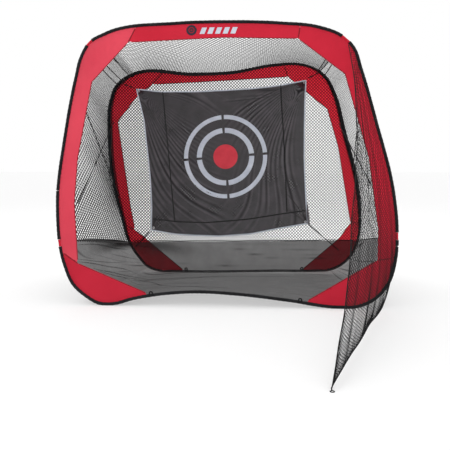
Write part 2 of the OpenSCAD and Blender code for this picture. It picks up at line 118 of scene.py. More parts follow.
def along(points, u):
    """Points of the closed curve at parameters u, where u = n is control point n."""
    u = np.atleast_1d(np.asarray(u, float))
    n = len(points)
    vel = velocities(points)
    i = np.floor(u).astype(int)
    t = (u - i)[:, None]
    a, b = points[i % n], points[(i + 1) % n]
    va, vb = vel[i % n], vel[(i + 1) % n]
    d = np.linalg.norm(b - a, axis=1)[:, None]
    return (a * (2 * t**3 - 3 * t**2 + 1) + b * (3 * t**2 - 2 * t**3)
            + va * d * (t**3 - 2 * t**2 + t) + vb * d * (t**3 - t**2))


def open_point(points, t):
    t = np.atleast_1d(np.asarray(t, float))
    n = len(points) - 1
    i = np.minimum((t * n).astype(int), n - 1)
    f = (t * n - i)[:, None]
    p0, p1 = points[np.maximum(i - 1, 0)], points[i]
    p2, p3 = points[i + 1], points[np.minimum(i + 2, n)]
    square, cube = 2 * p0 - 5 * p1 + 4 * p2 - p3, 3 * p1 - p0 - 3 * p2 + p3
    return 0.5 * (2 * p1 + (p2 - p0) * f + square * f**2 + cube * f**3)


def inside(points, u, inset):
    """Points of a hoop's outline moved towards the inside of the hoop."""
    d = unit(along(points, np.asarray(u) + 1e-3) - along(points, np.asarray(u) - 1e-3))
    return along(points, u) + np.stack([d[:, 1], -d[:, 0]], 1) * np.reshape(inset, (-1, 1))


def front_at(u, inset=0.0, back=0.0):
    p = inside(FRONT, u, inset)
    return np.stack([p[:, 0], FRONT_Y + FRONT_LEAN * p[:, 1] + back, p[:, 1]], 1)


def rear_at(u, inset=0.0, back=0.0):
    p = inside(REAR, u, inset)
    return np.stack([p[:, 0], REAR_Y + REAR_LEAN * p[:, 1] + back, p[:, 1]], 1)


def even(at, u0, u1, step):
    """Parameters between u0 and u1 that are evenly spaced along the hoop."""
    u = np.linspace(u0, u1, 400)
    length = np.concatenate([[0], np.cumsum(np.linalg.norm(np.diff(at(u), axis=0), axis=1))])
    count = max(2, int(round(length[-1] / step)) + 1)
    return np.interp(np.linspace(0, length[-1], count), length, u)


# ---------------------------------------------------------------- meshes

def new_mesh(name, verts, faces):
    mesh = bpy.data.meshes.new(name)
    mesh.from_pydata([tuple(v) for v in verts], [], [tuple(f) for f in faces])
    mesh.validate()
    mesh.polygons.foreach_set("use_smooth", [True] * len(mesh.polygons))
    return placed(name, mesh)


def fast_mesh(name, verts, quads):
    """Mesh from numpy arrays of points and of quads."""
    mesh = bpy.data.meshes.new(name)
    mesh.vertices.add(len(verts))
    mesh.vertices.foreach_set("co", np.asarray(verts, np.float32).ravel())
    mesh.loops.add(quads.size)
    mesh.loops.foreach_set("vertex_index", quads.astype(np.int32).ravel())
    mesh.polygons.add(len(quads))
    mesh.polygons.foreach_set("loop_start", np.arange(0, quads.size, 4, dtype=np.int32))
    mesh.update(calc_edges=True)
    mesh.polygons.foreach_set("use_smooth", [True] * len(quads))
    return placed(name, mesh)


def tube_arrays(path, radius, sides, up=(0.0, 0.13, 1.0), closed=False):
    """Rings round a path. radius is a number or one per point; returns points and quads."""
    path = np.asarray(path, float)
    n = len(path)
    if closed:
        tangent = unit(np.roll(path, -1, 0) - np.roll(path, 1, 0))
    else:
        tangent = unit(np.gradient(path, axis=0))
    across = np.cross(tangent, np.asarray(up, float))
    weak = np.linalg.norm(across, axis=1) < 0.05
    across[weak] = np.cross(tangent[weak], (1.0, 0.2, 0.0))
    across = unit(across)
    normal = np.cross(across, tangent)
    angle = 2 * math.pi * np.arange(sides) / sides
    ring = np.cos(angle)[None, :, None] * across[:, None] + np.sin(angle)[None, :, None] * normal[:, None]
    radius = np.asarray(radius, float)
    radius = np.broadcast_to(radius if radius.ndim == 2 else radius.reshape(-1, 1), (n, sides))
    verts = (path[:, None] + ring * radius[:, :, None]).reshape(-1, 3)
    last = n if closed else n - 1
    i, k = np.meshgrid(np.arange(last), np.arange(sides), indexing="ij")
    j, m = (i + 1) % n, (k + 1) % sides
    quads = np.stack([i * sides + k, i * sides + m, j * sides + m, j * sides + k], -1).reshape(-1, 4)
    return verts, quads


def join_arrays(parts):
    verts, quads, base = [], [], 0
    for v, q in parts:
        verts.append(v)
        quads.append(q + base)
        base += len(v)
    return np.concatenate(verts), np.concatenate(quads)


def capped_tube(path, radius, sides, **more):
    """Tube whose ends close in to a point-like ring."""
    path = np.asarray(path, float)
    radius = np.full(len(path), radius) if np.ndim(radius) == 0 else np.asarray(radius, float)
    radius = np.concatenate([radius[:1] * 0.02, radius, radius[-1:] * 0.02])
    a = path[0] - (path[1] - path[0]) * 1e-3
    b = path[-1] + (path[-1] - path[-2]) * 1e-3
    return tube_arrays(np.vstack([a, path, b]), radius, sides, **more)


def sample(grid, s, t):
    """Bilinear point of a grid of points at s, t from 0 to 1."""
    n, m = grid.shape[0] - 1, grid.shape[1] - 1
    x, y = np.clip(s, 0, 1) * n, np.clip(t, 0, 1) * m
    i, k = np.minimum(x.astype(int), n - 1), np.minimum(y.astype(int), m - 1)
    f, g = (x - i)[:, None], (y - k)[:, None]
    return (grid[i, k] * (1 - f) * (1 - g) + grid[i + 1, k] * f * (1 - g)
            + grid[i, k + 1] * (1 - f) * g + grid[i + 1, k + 1] * f * g)


def grid_quads(n, m):
    i, k = np.meshgrid(np.arange(n - 1), np.arange(m - 1), indexing="ij")
    a = i * m + k
    return np.stack([a, a + 1, a + m + 1, a + m], -1).reshape(-1, 4)


# ---------------------------------------------------------------- nets

NET_SPACING = 0.0177
STRAND_R = 0.0015


def clip_line(origin, direction, outline):
    """Intervals of a line that lie inside a closed outline in the plane."""
    a, b = outline, np.roll(outline, -1, 0)
    e = b - a
    det = direction[0] * -e[:, 1] + direction[1] * e[:, 0]
    ok = np.abs(det) > 1e-12
    w = a[ok] - origin
    d = det[ok]
    t = (w[:, 0] * -e[ok, 1] + w[:, 1] * e[ok, 0]) / d
    s = (direction[0] * w[:, 1] - direction[1] * w[:, 0]) / d
    hits = np.sort(t[(s >= 0) & (s < 1)])
    return [(hits[i], hits[i + 1]) for i in range(0, len(hits) - 1, 2)]


def net_strands(outline, spacing=NET_SPACING, piece=0.05):
    """Two families of slanting strands inside an outline (flat metres): polylines."""
    found = []
    lo, hi = outline.min(0), outline.max(0)
    for d in (np.array([1, 1]) / math.sqrt(2), np.array([1, -1]) / math.sqrt(2)):
        n = np.array([-d[1], d[0]])
        corners = np.array([[lo[0], lo[1]], [lo[0], hi[1]], [hi[0], lo[1]], [hi[0], hi[1]]]) @ n
        for c in np.arange(math.floor(corners.min() / spacing), math.ceil(corners.max() / spacing)):
            for t0, t1 in clip_line(n * c * spacing, d, outline):
                if t1 - t0 < 0.006:
                    continue
                count = max(2, int((t1 - t0) / piece) + 2)
                found.append(n * c * spacing + np.linspace(t0, t1, count)[:, None] * d)
    return found


def net_piece(name, outline, place, up, stretch=1.0, radius=STRAND_R, piece=0.05, spacing=NET_SPACING):
    """Net made of strands: place(flat points) gives points in space. A stretch above 1 pulls
    the meshes long in the second flat direction. radius may be a function of points in space."""
    parts = []
    for line in net_strands(outline / [1, stretch], spacing, piece):
        path = place(line * [1, stretch])
        width = radius(path) if callable(radius) else radius
        parts.append(tube_arrays(path, width, 4, up=up))
    verts, quads = join_arrays(parts)
    return fast_mesh(name, verts, quads)


# ---------------------------------------------------------------- materials

def node_material(name):
    mat = bpy.data.materials.new(name)
    mat.use_nodes = True
    tree = mat.node_tree
    return mat, tree, tree.nodes["Principled BSDF"]


def mapped(tree, scale):
    coords = tree.nodes.new("ShaderNodeTexCoord")
    mapping = tree.nodes.new("ShaderNodeMapping")
    mapping.inputs["Scale"].default_value = scale if hasattr(scale, "__len__") else (scale,) * 3
    tree.links.new(coords.outputs["Object"], mapping.inputs["Vector"])
    return mapping.outputs["Vector"]


def noise(tree, scale, detail, rough):
    tex = tree.nodes.new("ShaderNodeTexNoise")
    tex.inputs["Scale"].default_value = 1.0
    tex.inputs["Detail"].default_value = detail
    tex.inputs["Roughness"].default_value = rough
    tree.links.new(mapped(tree, scale), tex.inputs["Vector"])
    return tex.outputs["Fac"]


def ramp(tree, fac, stops):
    node = tree.nodes.new("ShaderNodeValToRGB")
    els = node.color_ramp.elements
    while len(els) < len(stops):
        els.new(0.5)
    for el, (pos, col) in zip(els, stops):
        el.position = pos
        el.color = (*col, 1)
    tree.links.new(fac, node.inputs["Fac"])
    return node.outputs["Color"]


def math_node(tree, kind, a, b):
    node = tree.nodes.new("ShaderNodeMath")
    node.operation = kind
    for socket, value in zip(node.inputs, (a, b)):
        if isinstance(value, (int, float)):
            socket.default_value = value
        else:
            tree.links.new(value, socket)
    return node.outputs[0]


def weave(tree, pitch):
    """Over-and-under threads: the product of crossed waves in the cloth's two directions."""
    vec = mapped(tree, 1.0)
    sep = tree.nodes.new("ShaderNodeSeparateXYZ")
    tree.links.new(vec, sep.inputs[0])
    k = 2 * math.pi / pitch
    across, depth, up = [math_node(tree, "SINE", math_node(tree, "MULTIPLY", sep.outputs[axis], k), 0)
                         for axis in "XYZ"]
    return math_node(tree, "ADD", math_node(tree, "MULTIPLY", across, up),
                     math_node(tree, "MULTIPLY", depth, up))


def bump(tree, bsdf, height, strength, distance):
    node = tree.nodes.new("ShaderNodeBump")
    node.inputs["Strength"].default_value = strength
    node.inputs["Distance"].default_value = distance
    tree.links.new(height, node.inputs["Height"])
    tree.links.new(node.outputs["Normal"], bsdf.inputs["Normal"])
    return node


def cloth_material(name, dark, light, roughness, sheen, pitch, weave_depth, specular, variation,
                   alpha=None, crease_shade_colour=None, crest_highlight_colour=(1, 1, 1), crease_shade_opacity=(0.0, 0.2)):
    """Woven cloth: thread relief, broad colour variation and fine flecks. With a crease shade colour its
    creases get painted shade, and with a crest colour their ridges get a painted highlight; creases are also
    made more opaque, which is painted shade too.
    """
    mat, tree, bsdf = node_material(name)
    broad = noise(tree, variation, 4.0, 0.55)
    fleck = noise(tree, 900.0, 2.0, 0.6)
    mixed = math_node(tree, "ADD", math_node(tree, "MULTIPLY", broad, 0.75),
                      math_node(tree, "MULTIPLY", fleck, 0.25))
    colour = ramp(tree, mixed, [(0.30, dark), (0.72, light)])
    crease_shading = None
    # painted shade in the creases and a painted highlight on their ridges, multiplied into the cloth's colour
    if crease_shade_colour is not None:
        crease_shading = tree.nodes.new("ShaderNodeAttribute")
        crease_shading.attribute_name = "crease_shading"
        painted_shading = tree.nodes.new("ShaderNodeMix")
        painted_shading.data_type = "RGBA"
        painted_shading.blend_type = "MULTIPLY"
        painted_shading.inputs[0].default_value = 1.0
        tree.links.new(colour, painted_shading.inputs[6])
        tone = ramp(tree, crease_shading.outputs["Fac"], [(0.0, crest_highlight_colour), (0.3, (1, 1, 1)), (1.0, crease_shade_colour)])
        tree.links.new(tone, painted_shading.inputs[7])
        colour = painted_shading.outputs[2]
    tree.links.new(colour, bsdf.inputs["Base Color"])
    bsdf.inputs["Roughness"].default_value = roughness
    bsdf.inputs["Specular IOR Level"].default_value = specular
    bsdf.inputs["Sheen Weight"].default_value = sheen
    bsdf.inputs["Sheen Roughness"].default_value = 0.4
    threads = weave(tree, pitch)
    relief = math_node(tree, "ADD", threads, math_node(tree, "MULTIPLY", fleck, 0.8))
    bump(tree, bsdf, relief, 0.5, weave_depth)
    if alpha is not None:
        low, high = alpha
        shade = math_node(tree, "ADD", low, math_node(tree, "MULTIPLY", broad, high - low))
        # more opaque in the creases, so darker there: painted shade
        if crease_shading is not None:
            flat_value, strength = crease_shade_opacity
            deep = math_node(tree, "SUBTRACT", crease_shading.outputs["Fac"], flat_value)
            shade = math_node(tree, "ADD", shade, math_node(tree, "MULTIPLY", deep, strength))
        tree.links.new(shade, bsdf.inputs["Alpha"])
    return mat


def thin_cloth(mat, glow, share):
    """Lets light from behind through a cloth, in the glow's colour."""
    tree = mat.node_tree
    bsdf = tree.nodes["Principled BSDF"]
    output = tree.nodes["Material Output"]
    through = tree.nodes.new("ShaderNodeBsdfTranslucent")
    through.inputs["Color"].default_value = (*glow, 1)
    both = tree.nodes.new("ShaderNodeMixShader")
    both.inputs[0].default_value = share
    tree.links.new(bsdf.outputs[0], both.inputs[1])
    tree.links.new(through.outputs[0], both.inputs[2])
    tree.links.new(both.outputs[0], output.inputs["Surface"])
    return mat


BLACK = ((0.004, 0.004, 0.005), (0.013, 0.013, 0.014))
# Woven cloths: name, dark and light colour, roughness, sheen, thread pitch, relief, specular, size
# of the broad variation.
WOVEN = {
    "thread": ("red_thread", (0.24, 0.004, 0.012), (0.34, 0.008, 0.020), 0.6, 0.1, 0.0010, 0.0003,
               0.2, 60.0),
    "sleeve": ("black_sleeve", BLACK[0], (0.016, 0.016, 0.018), 0.75, 0.10, 0.0014, 0.0003, 0.15, 20.0),
    "net": ("net_twine", *BLACK, 0.8, 0.0, 0.0008, 0.0002, 0.08, 60.0),
    "binding": ("black_binding", *BLACK, 0.75, 0.05, 0.0010, 0.0003, 0.15, 30.0),
    "cord": ("braided_cord", (0.004, 0.004, 0.004), (0.012, 0.012, 0.013), 0.7, 0.0, 0.0015, 0.0004,
             0.15, 80.0),
    "white": ("white_print", (0.44, 0.48, 0.56), (0.62, 0.66, 0.74), 0.6, 0.05, 0.0013, 0.00012, 0.2, 14.0),
    "red_print": ("red_print", (0.54, 0.032, 0.052), (0.68, 0.052, 0.076), 0.55, 0.05, 0.0013,
                  0.00012, 0.2, 14.0),
    "badge": ("badge_print", (0.012, 0.010, 0.020), (0.030, 0.022, 0.040), 0.5, 0.05, 0.0013,
              0.00012, 0.2, 30.0),
}
# Red satins: name, colours, roughness, sheen, specular, variation, glow from behind and its share.
SATINS = {
    "satin": ("red_satin", (0.56, 0.016, 0.038), (0.70, 0.026, 0.058), 0.5, 0.10, 0.12, 3.0,
              (0.90, 0.024, 0.050), 0.34),
    # a brighter copy of the red satin for the rear band: painted light
    "satin_rear_painted_light": ("red_satin_rear_painted_light", (0.74, 0.030, 0.050), (0.92, 0.046, 0.076), 0.5, 0.10, 0.20, 3.0,
                   (1.0, 0.028, 0.056), 0.42),
    # a lighter, pinker copy of the red satin for the front band's left panel: painted highlight
    "satin_painted_highlight": ("red_satin_painted_highlight", (0.70, 0.042, 0.080), (0.95, 0.095, 0.140), 0.45, 0.15, 0.25, 2.0,
                   (1.0, 0.055, 0.100), 0.36),
}
SATIN_PITCH, SATIN_RELIEF = 0.0009, 0.00012
# Sheer cloths of the tray: name and the range of its alpha. The left and back walls are more opaque copies of
# the same cloth, which darkens them: painted shade.
SHEER = {
    "tray": ("sheer_tray_cloth", (0.76, 0.86)),
    "tray_left_painted_shade": ("sheer_left_cloth_painted_shade", (0.80, 0.89)),
    "tray_back_painted_shade": ("sheer_back_cloth_painted_shade", (0.84, 0.90)),
}
MAT = {key: cloth_material(*row) for key, row in WOVEN.items()}
for key, (name, dark, light, rough, sheen, gloss, size, glow, share) in SATINS.items():
    cloth = cloth_material(name, dark, light, rough, sheen, SATIN_PITCH, SATIN_RELIEF, gloss, size)
    MAT[key] = thin_cloth(cloth, glow, share)
for key, (name, alpha) in SHEER.items():
    # the tray cloths are painted darker in their creases: painted shade
    MAT[key] = cloth_material(name, (0.012, 0.011, 0.012), (0.024, 0.022, 0.023), 0.65, 0.05, 0.0016,
                              0.0002, 0.12, 9.0, alpha=alpha, crease_shade_colour=(0.35, 0.33, 0.34))
# dark sheer cloth of the ribbons along the tray's folds: doubled cloth and painted fold shade
MAT["fold"] = cloth_material("doubled_tray_cloth_fold_shade", *BLACK, 0.7, 0.0, 0.0016, 0.0002, 0.1, 9.0,
                             alpha=(0.42, 0.60))
MAT["net_edge"] = cloth_material("doubled_net", *BLACK, 0.8, 0.0, 0.0010, 0.0003, 0.1, 120.0,
                                 alpha=(0.74, 0.92))
# the target cloth: painted shade in its creases and a painted highlight on their ridges, with creases made more
# opaque
MAT["target"] = cloth_material("target_cloth", (0.014, 0.011, 0.014), (0.036, 0.030, 0.036), 0.7, 0.08,
                               0.0013, 0.0002, 0.12, 7.0, alpha=(0.920, 0.945), crease_shade_colour=(0.10, 0.09, 0.10),
                               crest_highlight_colour=(2.4, 2.4, 2.4), crease_shade_opacity=(0.3, 0.22))


def steel_material():
    mat, tree, bsdf = node_material("spring_steel")
    scratches = noise(tree, (400, 400, 40), 5.0, 0.6)
    greys = ramp(tree, scratches, [(0.3, (0.42, 0.42, 0.44)), (0.7, (0.62, 0.62, 0.64))])
    tree.links.new(greys, bsdf.inputs["Base Color"])
    bsdf.inputs["Metallic"].default_value = 1.0
    worn = math_node(tree, "ADD", 0.25, math_node(tree, "MULTIPLY", scratches, 0.2))
    tree.links.new(worn, bsdf.inputs["Roughness"])
    bump(tree, bsdf, scratches, 0.2, 0.0002)
    return mat


MAT["steel"] = steel_material()


def paint_crease_shading(obj, values):
    """Keeps each point's painted shading for the cloth's creases, from 0 to 1: towards 1 painted shade, near 0
    a painted highlight where the material has one.
    """
    layer = obj.data.attributes.new("crease_shading", "FLOAT", "POINT")
    layer.data.foreach_set("value", np.clip(values, 0, 1).astype(np.float32))


def paint(obj, key):
    obj.data.materials.clear()
    obj.data.materials.append(MAT[key])


def dress(obj, key, node=None, body=None):
    """Gives a piece its material and slot, hides the CAD node it stands for and attaches it to the body it
    rides.
    """
    paint(obj, key)
    if node:
        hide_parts(node)
    if body:
        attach(obj, body)


# ---------------------------------------------------------------- cords (before the rest)

CORD_R = 0.0034


def at_front(x, z):
    return np.array([x, FRONT_Y + FRONT_LEAN * z + 0.006, z])


def at_rear(x, z):
    return np.array([x, REAR_Y + REAR_LEAN * z - REAR_LAYERS - 0.004, z])


def cord_path(a, b, sag):
    """Nearly straight line of a thin cord with a small sag, about one point each 70 mm."""
    count = max(6, int(np.linalg.norm(b - a) / 0.07))
    t = np.linspace(0, 1, count)[:, None]
    path = a + (b - a) * t
    path[:, 2] -= sag * 4 * (t * (1 - t))[:, 0]
    return path


def make_cord(name, path, radius=CORD_R):
    obj = fast_mesh(name, *capped_tube(path, radius, 8))
    dress(obj, "cord")
    return obj


BETWEEN_HOOPS = {
    "link_cord_left_outer": (at_front(-0.806, 1.522), at_rear(-0.940, 1.545), 0.004, "link_cords_left"),
    "link_cord_left_inner": (at_front(-0.780, 1.548), at_rear(-0.905, 1.580), 0.004, "link_cords_left"),
    "link_cord_right_inner": (at_front(0.650, 1.592), at_rear(0.685, 1.642), 0.004, "link_cords_right"),
    "link_cord_right_outer": (at_front(0.690, 1.560), at_rear(0.735, 1.600), 0.004, "link_cords_right"),
    "brace_cord_left_falling": (at_front(-0.915, 1.250), at_rear(-0.950, 0.650), 0.003, "brace_cords_left"),
    "brace_cord_left_rising": (at_front(-0.963, 0.655), at_rear(-0.993, 1.250), 0.003, "brace_cords_left"),
    "brace_cord_right_falling": (at_front(0.845, 1.150), at_rear(0.990, 0.850), 0.003, "brace_cords_right"),
    "brace_cord_right_rising": (at_front(0.933, 0.780), at_rear(0.873, 1.235), 0.003, "brace_cords_right"),
}
for name, (a, b, sag, node) in BETWEEN_HOOPS.items():
    path = cord_path(a, b, sag)
    obj = make_cord(name, path)
    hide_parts(node)
    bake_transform(obj)

falling = [BETWEEN_HOOPS["brace_cord_left_falling"][k] for k in (0, 1)]
rising = [BETWEEN_HOOPS["brace_cord_left_rising"][k] for k in (0, 1)]
KNOT_AT, TAIL_AT, TAIL_DROP = 0.664, 0.955, 0.075
knot = falling[0] + (falling[1] - falling[0]) * KNOT_AT
tail_top = rising[0] + (rising[1] - rising[0]) * TAIL_AT
k = np.linspace(0, 1, 14)[:, None]
down = tail_top + (knot - tail_top) * k
end = knot + np.stack([0.004 * np.sin(k[1:, 0] * 5), 0 * k[1:, 0], -TAIL_DROP * k[1:, 0]], 1)
path = np.vstack([down, end])
obj = make_cord("brace_cord_left_tail", path)
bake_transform(obj)
turns = np.linspace(0, 3 * 2 * math.pi, 60)
coil = knot + np.stack([0.0048 * np.cos(turns), 0.0048 * np.sin(turns), np.linspace(0.008, -0.008, 60)], 1)
obj = fast_mesh("brace_cord_left_knot", *capped_tube(coil, 0.0024, 8, up=(0, 0, 1)))
dress(obj, "cord")
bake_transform(obj)

# ---------------------------------------------------------------- hoop sleeves

FRONT_CLOTH_R = 0.0112
# Gathers stay this far off the ground.
GROUND_GAP = 0.0008
REAR_CLOTH_R = 0.0110


def gathered_sleeve(name, at, u0, u1, radius, key, body, node, pucker=0.10):
    """Sleeve swept along the hoop, with the small gathers of cloth bent round a wire."""
    u = even(at, u0, u1, 0.007)
    path = at(u)
    sides = 14
    length = np.concatenate([[0], np.cumsum(np.linalg.norm(np.diff(path, axis=0), axis=1))])
    angle = 2 * math.pi * np.arange(sides) / sides
    wave = (np.sin(length[:, None] * 2 * math.pi / 0.031 + 1.9 * np.sin(angle)[None] + u0)
            + 0.6 * np.sin(length[:, None] * 2 * math.pi / 0.019 + 2.6 * np.cos(angle)[None] + 3 * u1)
            + 0.5 * np.sin(length[:, None] * 2 * math.pi / 0.173 + angle[None] * 2))
    r = radius * (0.93 + pucker * 0.45 * wave)
    cuff = np.minimum(length, length[-1] - length)
    r = np.where((cuff < 0.010)[:, None], radius, r)
    verts, quads = capped_tube(path, np.minimum(r, radius * 1.12), sides)
    verts[:, 2] = np.maximum(verts[:, 2], GROUND_GAP)
    obj = fast_mesh(name, verts, quads)
    dress(obj, key, node=node, body=body)
    return obj


WINDOWS = {
    "top_left": (26.75, 27.15), "top_right": (3.05, 3.6), "right": (8.14, 8.40), "left": (22.30, 22.43)}
REAR_JOINS = (3.3, 8.27, 22.4, 26.95)
SLEEVES = {
    "front": (front_at, FRONT_CLOTH_R, {
        "top": (27.15, 33.05), "right": (3.6, 8.14), "bottom": (8.40, 22.30), "left": (22.43, 26.75)}),
    "rear": (rear_at, REAR_CLOTH_R, {
        "top": (REAR_JOINS[3] + 0.01, 33.29), "right": (REAR_JOINS[0] + 0.01, REAR_JOINS[1] - 0.01),
        "bottom": (REAR_JOINS[1] + 0.01, REAR_JOINS[2] - 0.01),
        "left": (REAR_JOINS[2] + 0.01, REAR_JOINS[3] - 0.01)}),
}
for side, (at, radius, lengths) in SLEEVES.items():
    for part, (u0, u1) in lengths.items():
        gathered_sleeve(f"sleeve_{side}_{part}", at, u0, u1, radius, "sleeve",
                        side + "_frame", f"{side}_sleeve_{part}")
WINDOW_INSET = 0.0012
for name, (u0, u1) in WINDOWS.items():
    gathered_sleeve("sleeve_window_" + name, front_at, u0 + 0.005, u1 - 0.005, SLEEVE_R - WINDOW_INSET, "satin",
                    "front_frame", "front_sleeve_windows", 0.06)
for n in ("front_hoop_wire", "rear_hoop_wire", "front_hoop_ferrule", "rear_hoop_ferrule", "target_eyelets"):
    paint(nodes[n], "steel")

# ---------------------------------------------------------------- flat panels cut from CAD outlines

def plane_axes(lean):
    up = unit(np.array([0.0, lean, 1.0]))
    return np.array([1.0, 0.0, 0.0]), up, np.cross(np.array([1.0, 0.0, 0.0]), up)


def node_outline(node, lean):
    """Ordered outline of a flat CAD node's player side, as (x, height) with its plane."""
    mesh = nodes[node].data
    co = np.array([v.co for v in mesh.vertices], float)
    key = {}
    merged = np.zeros(len(co), int)
    for i, p in enumerate(np.round(co, 5)):
        merged[i] = key.setdefault(tuple(p), len(key))
    points = np.array(list(key.keys()))
    right, up, back = plane_axes(lean)
    edges = {}
    for poly in mesh.polygons:
        ids = [merged[i] for i in poly.vertices]
        n = np.cross(points[ids[1]] - points[ids[0]], points[ids[2]] - points[ids[0]])
        if np.dot(unit(n), back) > -0.9:
            continue
        for a, b in zip(ids, ids[1:] + ids[:1]):
            if (b, a) in edges:
                del edges[(b, a)]
            else:
                edges[(a, b)] = True
    following = {a: b for a, b in edges}
    loops = []
    while following:
        start = next(iter(following))
        loop = [start]
        step = following.pop(start)
        while step != start and step in following:
            loop.append(step)
            step = following.pop(step)
        loops.append(points[loop])
    loops.sort(key=len, reverse=True)
    flat = [np.stack([p @ right, p @ up], 1) for p in loops]
    depth = float(loops[0][0] @ back)
    return flat, depth


def resampled(outline, step):
    """Outline with points about step apart, keeping its corners."""
    out = []
    for a, b in zip(outline, np.roll(outline, -1, 0)):
        n = max(1, int(round(np.linalg.norm(b - a) / step)))
        out += [a + (b - a) * k / n for k in range(n)]
    return np.array(out)


def inside_mask(points, outline):
    x, y = points[:, 0], points[:, 1]
    result = np.zeros(len(points), bool)
    for (x0, y0), (x1, y1) in zip(outline, np.roll(outline, -1, 0)):
        if y0 == y1:
            continue
        cross = ((y0 > y) != (y1 > y)) & (x < (x1 - x0) * (y - y0) / (y1 - y0) + x0)
        result ^= cross
    return result


def edge_distance(points, outline):
    best = np.full(len(points), 1e9)
    for a, b in zip(outline, np.roll(outline, -1, 0)):
        e = b - a
        t = np.clip(((points - a) @ e) / max(e @ e, 1e-12), 0, 1)
        best = np.minimum(best, np.linalg.norm(points - a - t[:, None] * e, axis=1))
    return best


def fill(outline, step):
    """Even triangles inside an outline: flat points and faces."""
    border = resampled(outline, step)
    lo, hi = outline.min(0), outline.max(0)
    rows = []
    for r, y in enumerate(np.arange(lo[1], hi[1], step * 0.866)):
        shift = 0.5 * step * (r % 2)
        xs = np.arange(lo[0] + shift, hi[0], step)
        rows.append(np.stack([xs, np.full(len(xs), y)], 1))
    inner = np.concatenate(rows)
    inner = inner[inside_mask(inner, outline)]
    inner = inner[edge_distance(inner, border) > step * 0.55]
    points = np.concatenate([border, inner])
    edges = [(i, (i + 1) % len(border)) for i in range(len(border))]
    made = geometry.delaunay_2d_cdt([Vector(p) for p in points], edges, [], 0, 1e-7)
    flat = np.array([tuple(v) for v in made[0]])
    faces = np.array([f for f in made[2] if len(f) == 3])
    centre = flat[faces].mean(1)
    return flat, faces[inside_mask(centre, outline)]


def flat_area(flat, faces):
    """Area of a flat mesh of triangles."""
    return float(sum(abs(np.cross(flat[f[1]] - flat[f[0]], flat[f[2]] - flat[f[0]])) / 2 for f in faces))


def in_space(flat, depth, lean):
    right, up, back = plane_axes(lean)
    return flat[:, :1] * right + flat[:, 1:] * up + np.reshape(depth, (-1, 1)) * back


def wrinkle_field(points, seed, scale, amount):
    """Smooth sum of a few plane waves with fixed random directions."""
    g = np.random.default_rng(seed)
    total = np.zeros(len(points))
    for _ in range(9):
        a = g.uniform(0, 2 * math.pi)
        k = 2 * math.pi / (scale * g.uniform(0.6, 1.8))
        total += np.sin((points[:, 0] * math.cos(a) + points[:, 1] * math.sin(a)) * k + g.uniform(0, 6.3))
    return amount * total / 4


def flattened(points, base_y, lean):
    """Points (x, z) of a leaning plane in its own flat coordinates."""
    slope = math.sqrt(1 + lean * lean)
    return np.asarray(points, float) * [1, slope] + [0, base_y * lean / slope]


def flat_hoop(points, base_y, lean):
    """A hoop's middle line in its plane's flat coordinates."""
    return flattened(along(points, np.linspace(0, len(points), 1500, endpoint=False)), base_y, lean)


def on_rear_plane(points):
    return flattened(points, REAR_Y, REAR_LEAN)


def nearest(points, line):
    """For each point the nearest point of a dense line, and how far it is."""
    gap = np.linalg.norm(points[:, None] - line[None], axis=2)
    k = gap.argmin(1)
    return line[k], gap[np.arange(len(points)), k]


def flat_tube(path, half_width, half_thick, normal, sides=10, closed=False):
    """Flattened tube: a strip of webbing, binding or a seam along a path."""
    angle = 2 * math.pi * np.arange(sides) / sides
    reach = np.hypot(half_thick * np.cos(angle), half_width * np.sin(angle))
    section = half_width * half_thick / reach
    radius = np.broadcast_to(section, (len(path), sides))
    if closed:
        return tube_arrays(path, radius, sides, up=normal, closed=True)
    return capped_tube(path, radius, sides, up=normal)


def widened(border, gap):
    """A closed outline moved outwards, with its corners kept."""
    ahead, behind = unit(np.roll(border, -1, 0) - border), unit(border - np.roll(border, 1, 0))
    middle = unit(ahead + behind)
    reach = gap / np.maximum(0.5, (middle * ahead).sum(1))
    out = np.stack([middle[:, 1], -middle[:, 0]], 1) * reach[:, None]
    x, y = border[:, 0], border[:, 1]
    turning = np.sum(x * np.roll(y, -1) - y * np.roll(x, -1))
    return border + out * np.sign(turning)


def runs(mask):
    """Stretches of a closed list where mask is true, as index arrays."""
    n = len(mask)
    if mask.all():
        return [np.arange(n)]
    starts = [i for i in range(n) if mask[i] and not mask[i - 1]]
    found = []
    for i in starts:
        k = i
        while mask[k % n]:
            k += 1
        if k - i > 2:
            found.append(np.arange(i, k) % n)
    return found


def cloth_lift(flat, border, seed):
    """Soft billow of a stretched panel, none at its edges."""
    away = np.clip(edge_distance(flat, border) / 0.05, 0, 1)
    broad = wrinkle_field(flat, seed, 0.20, 0.0022)
    return away * (broad + wrinkle_field(flat * [1.0, 0.35], seed + 1, 0.05, 0.0006))


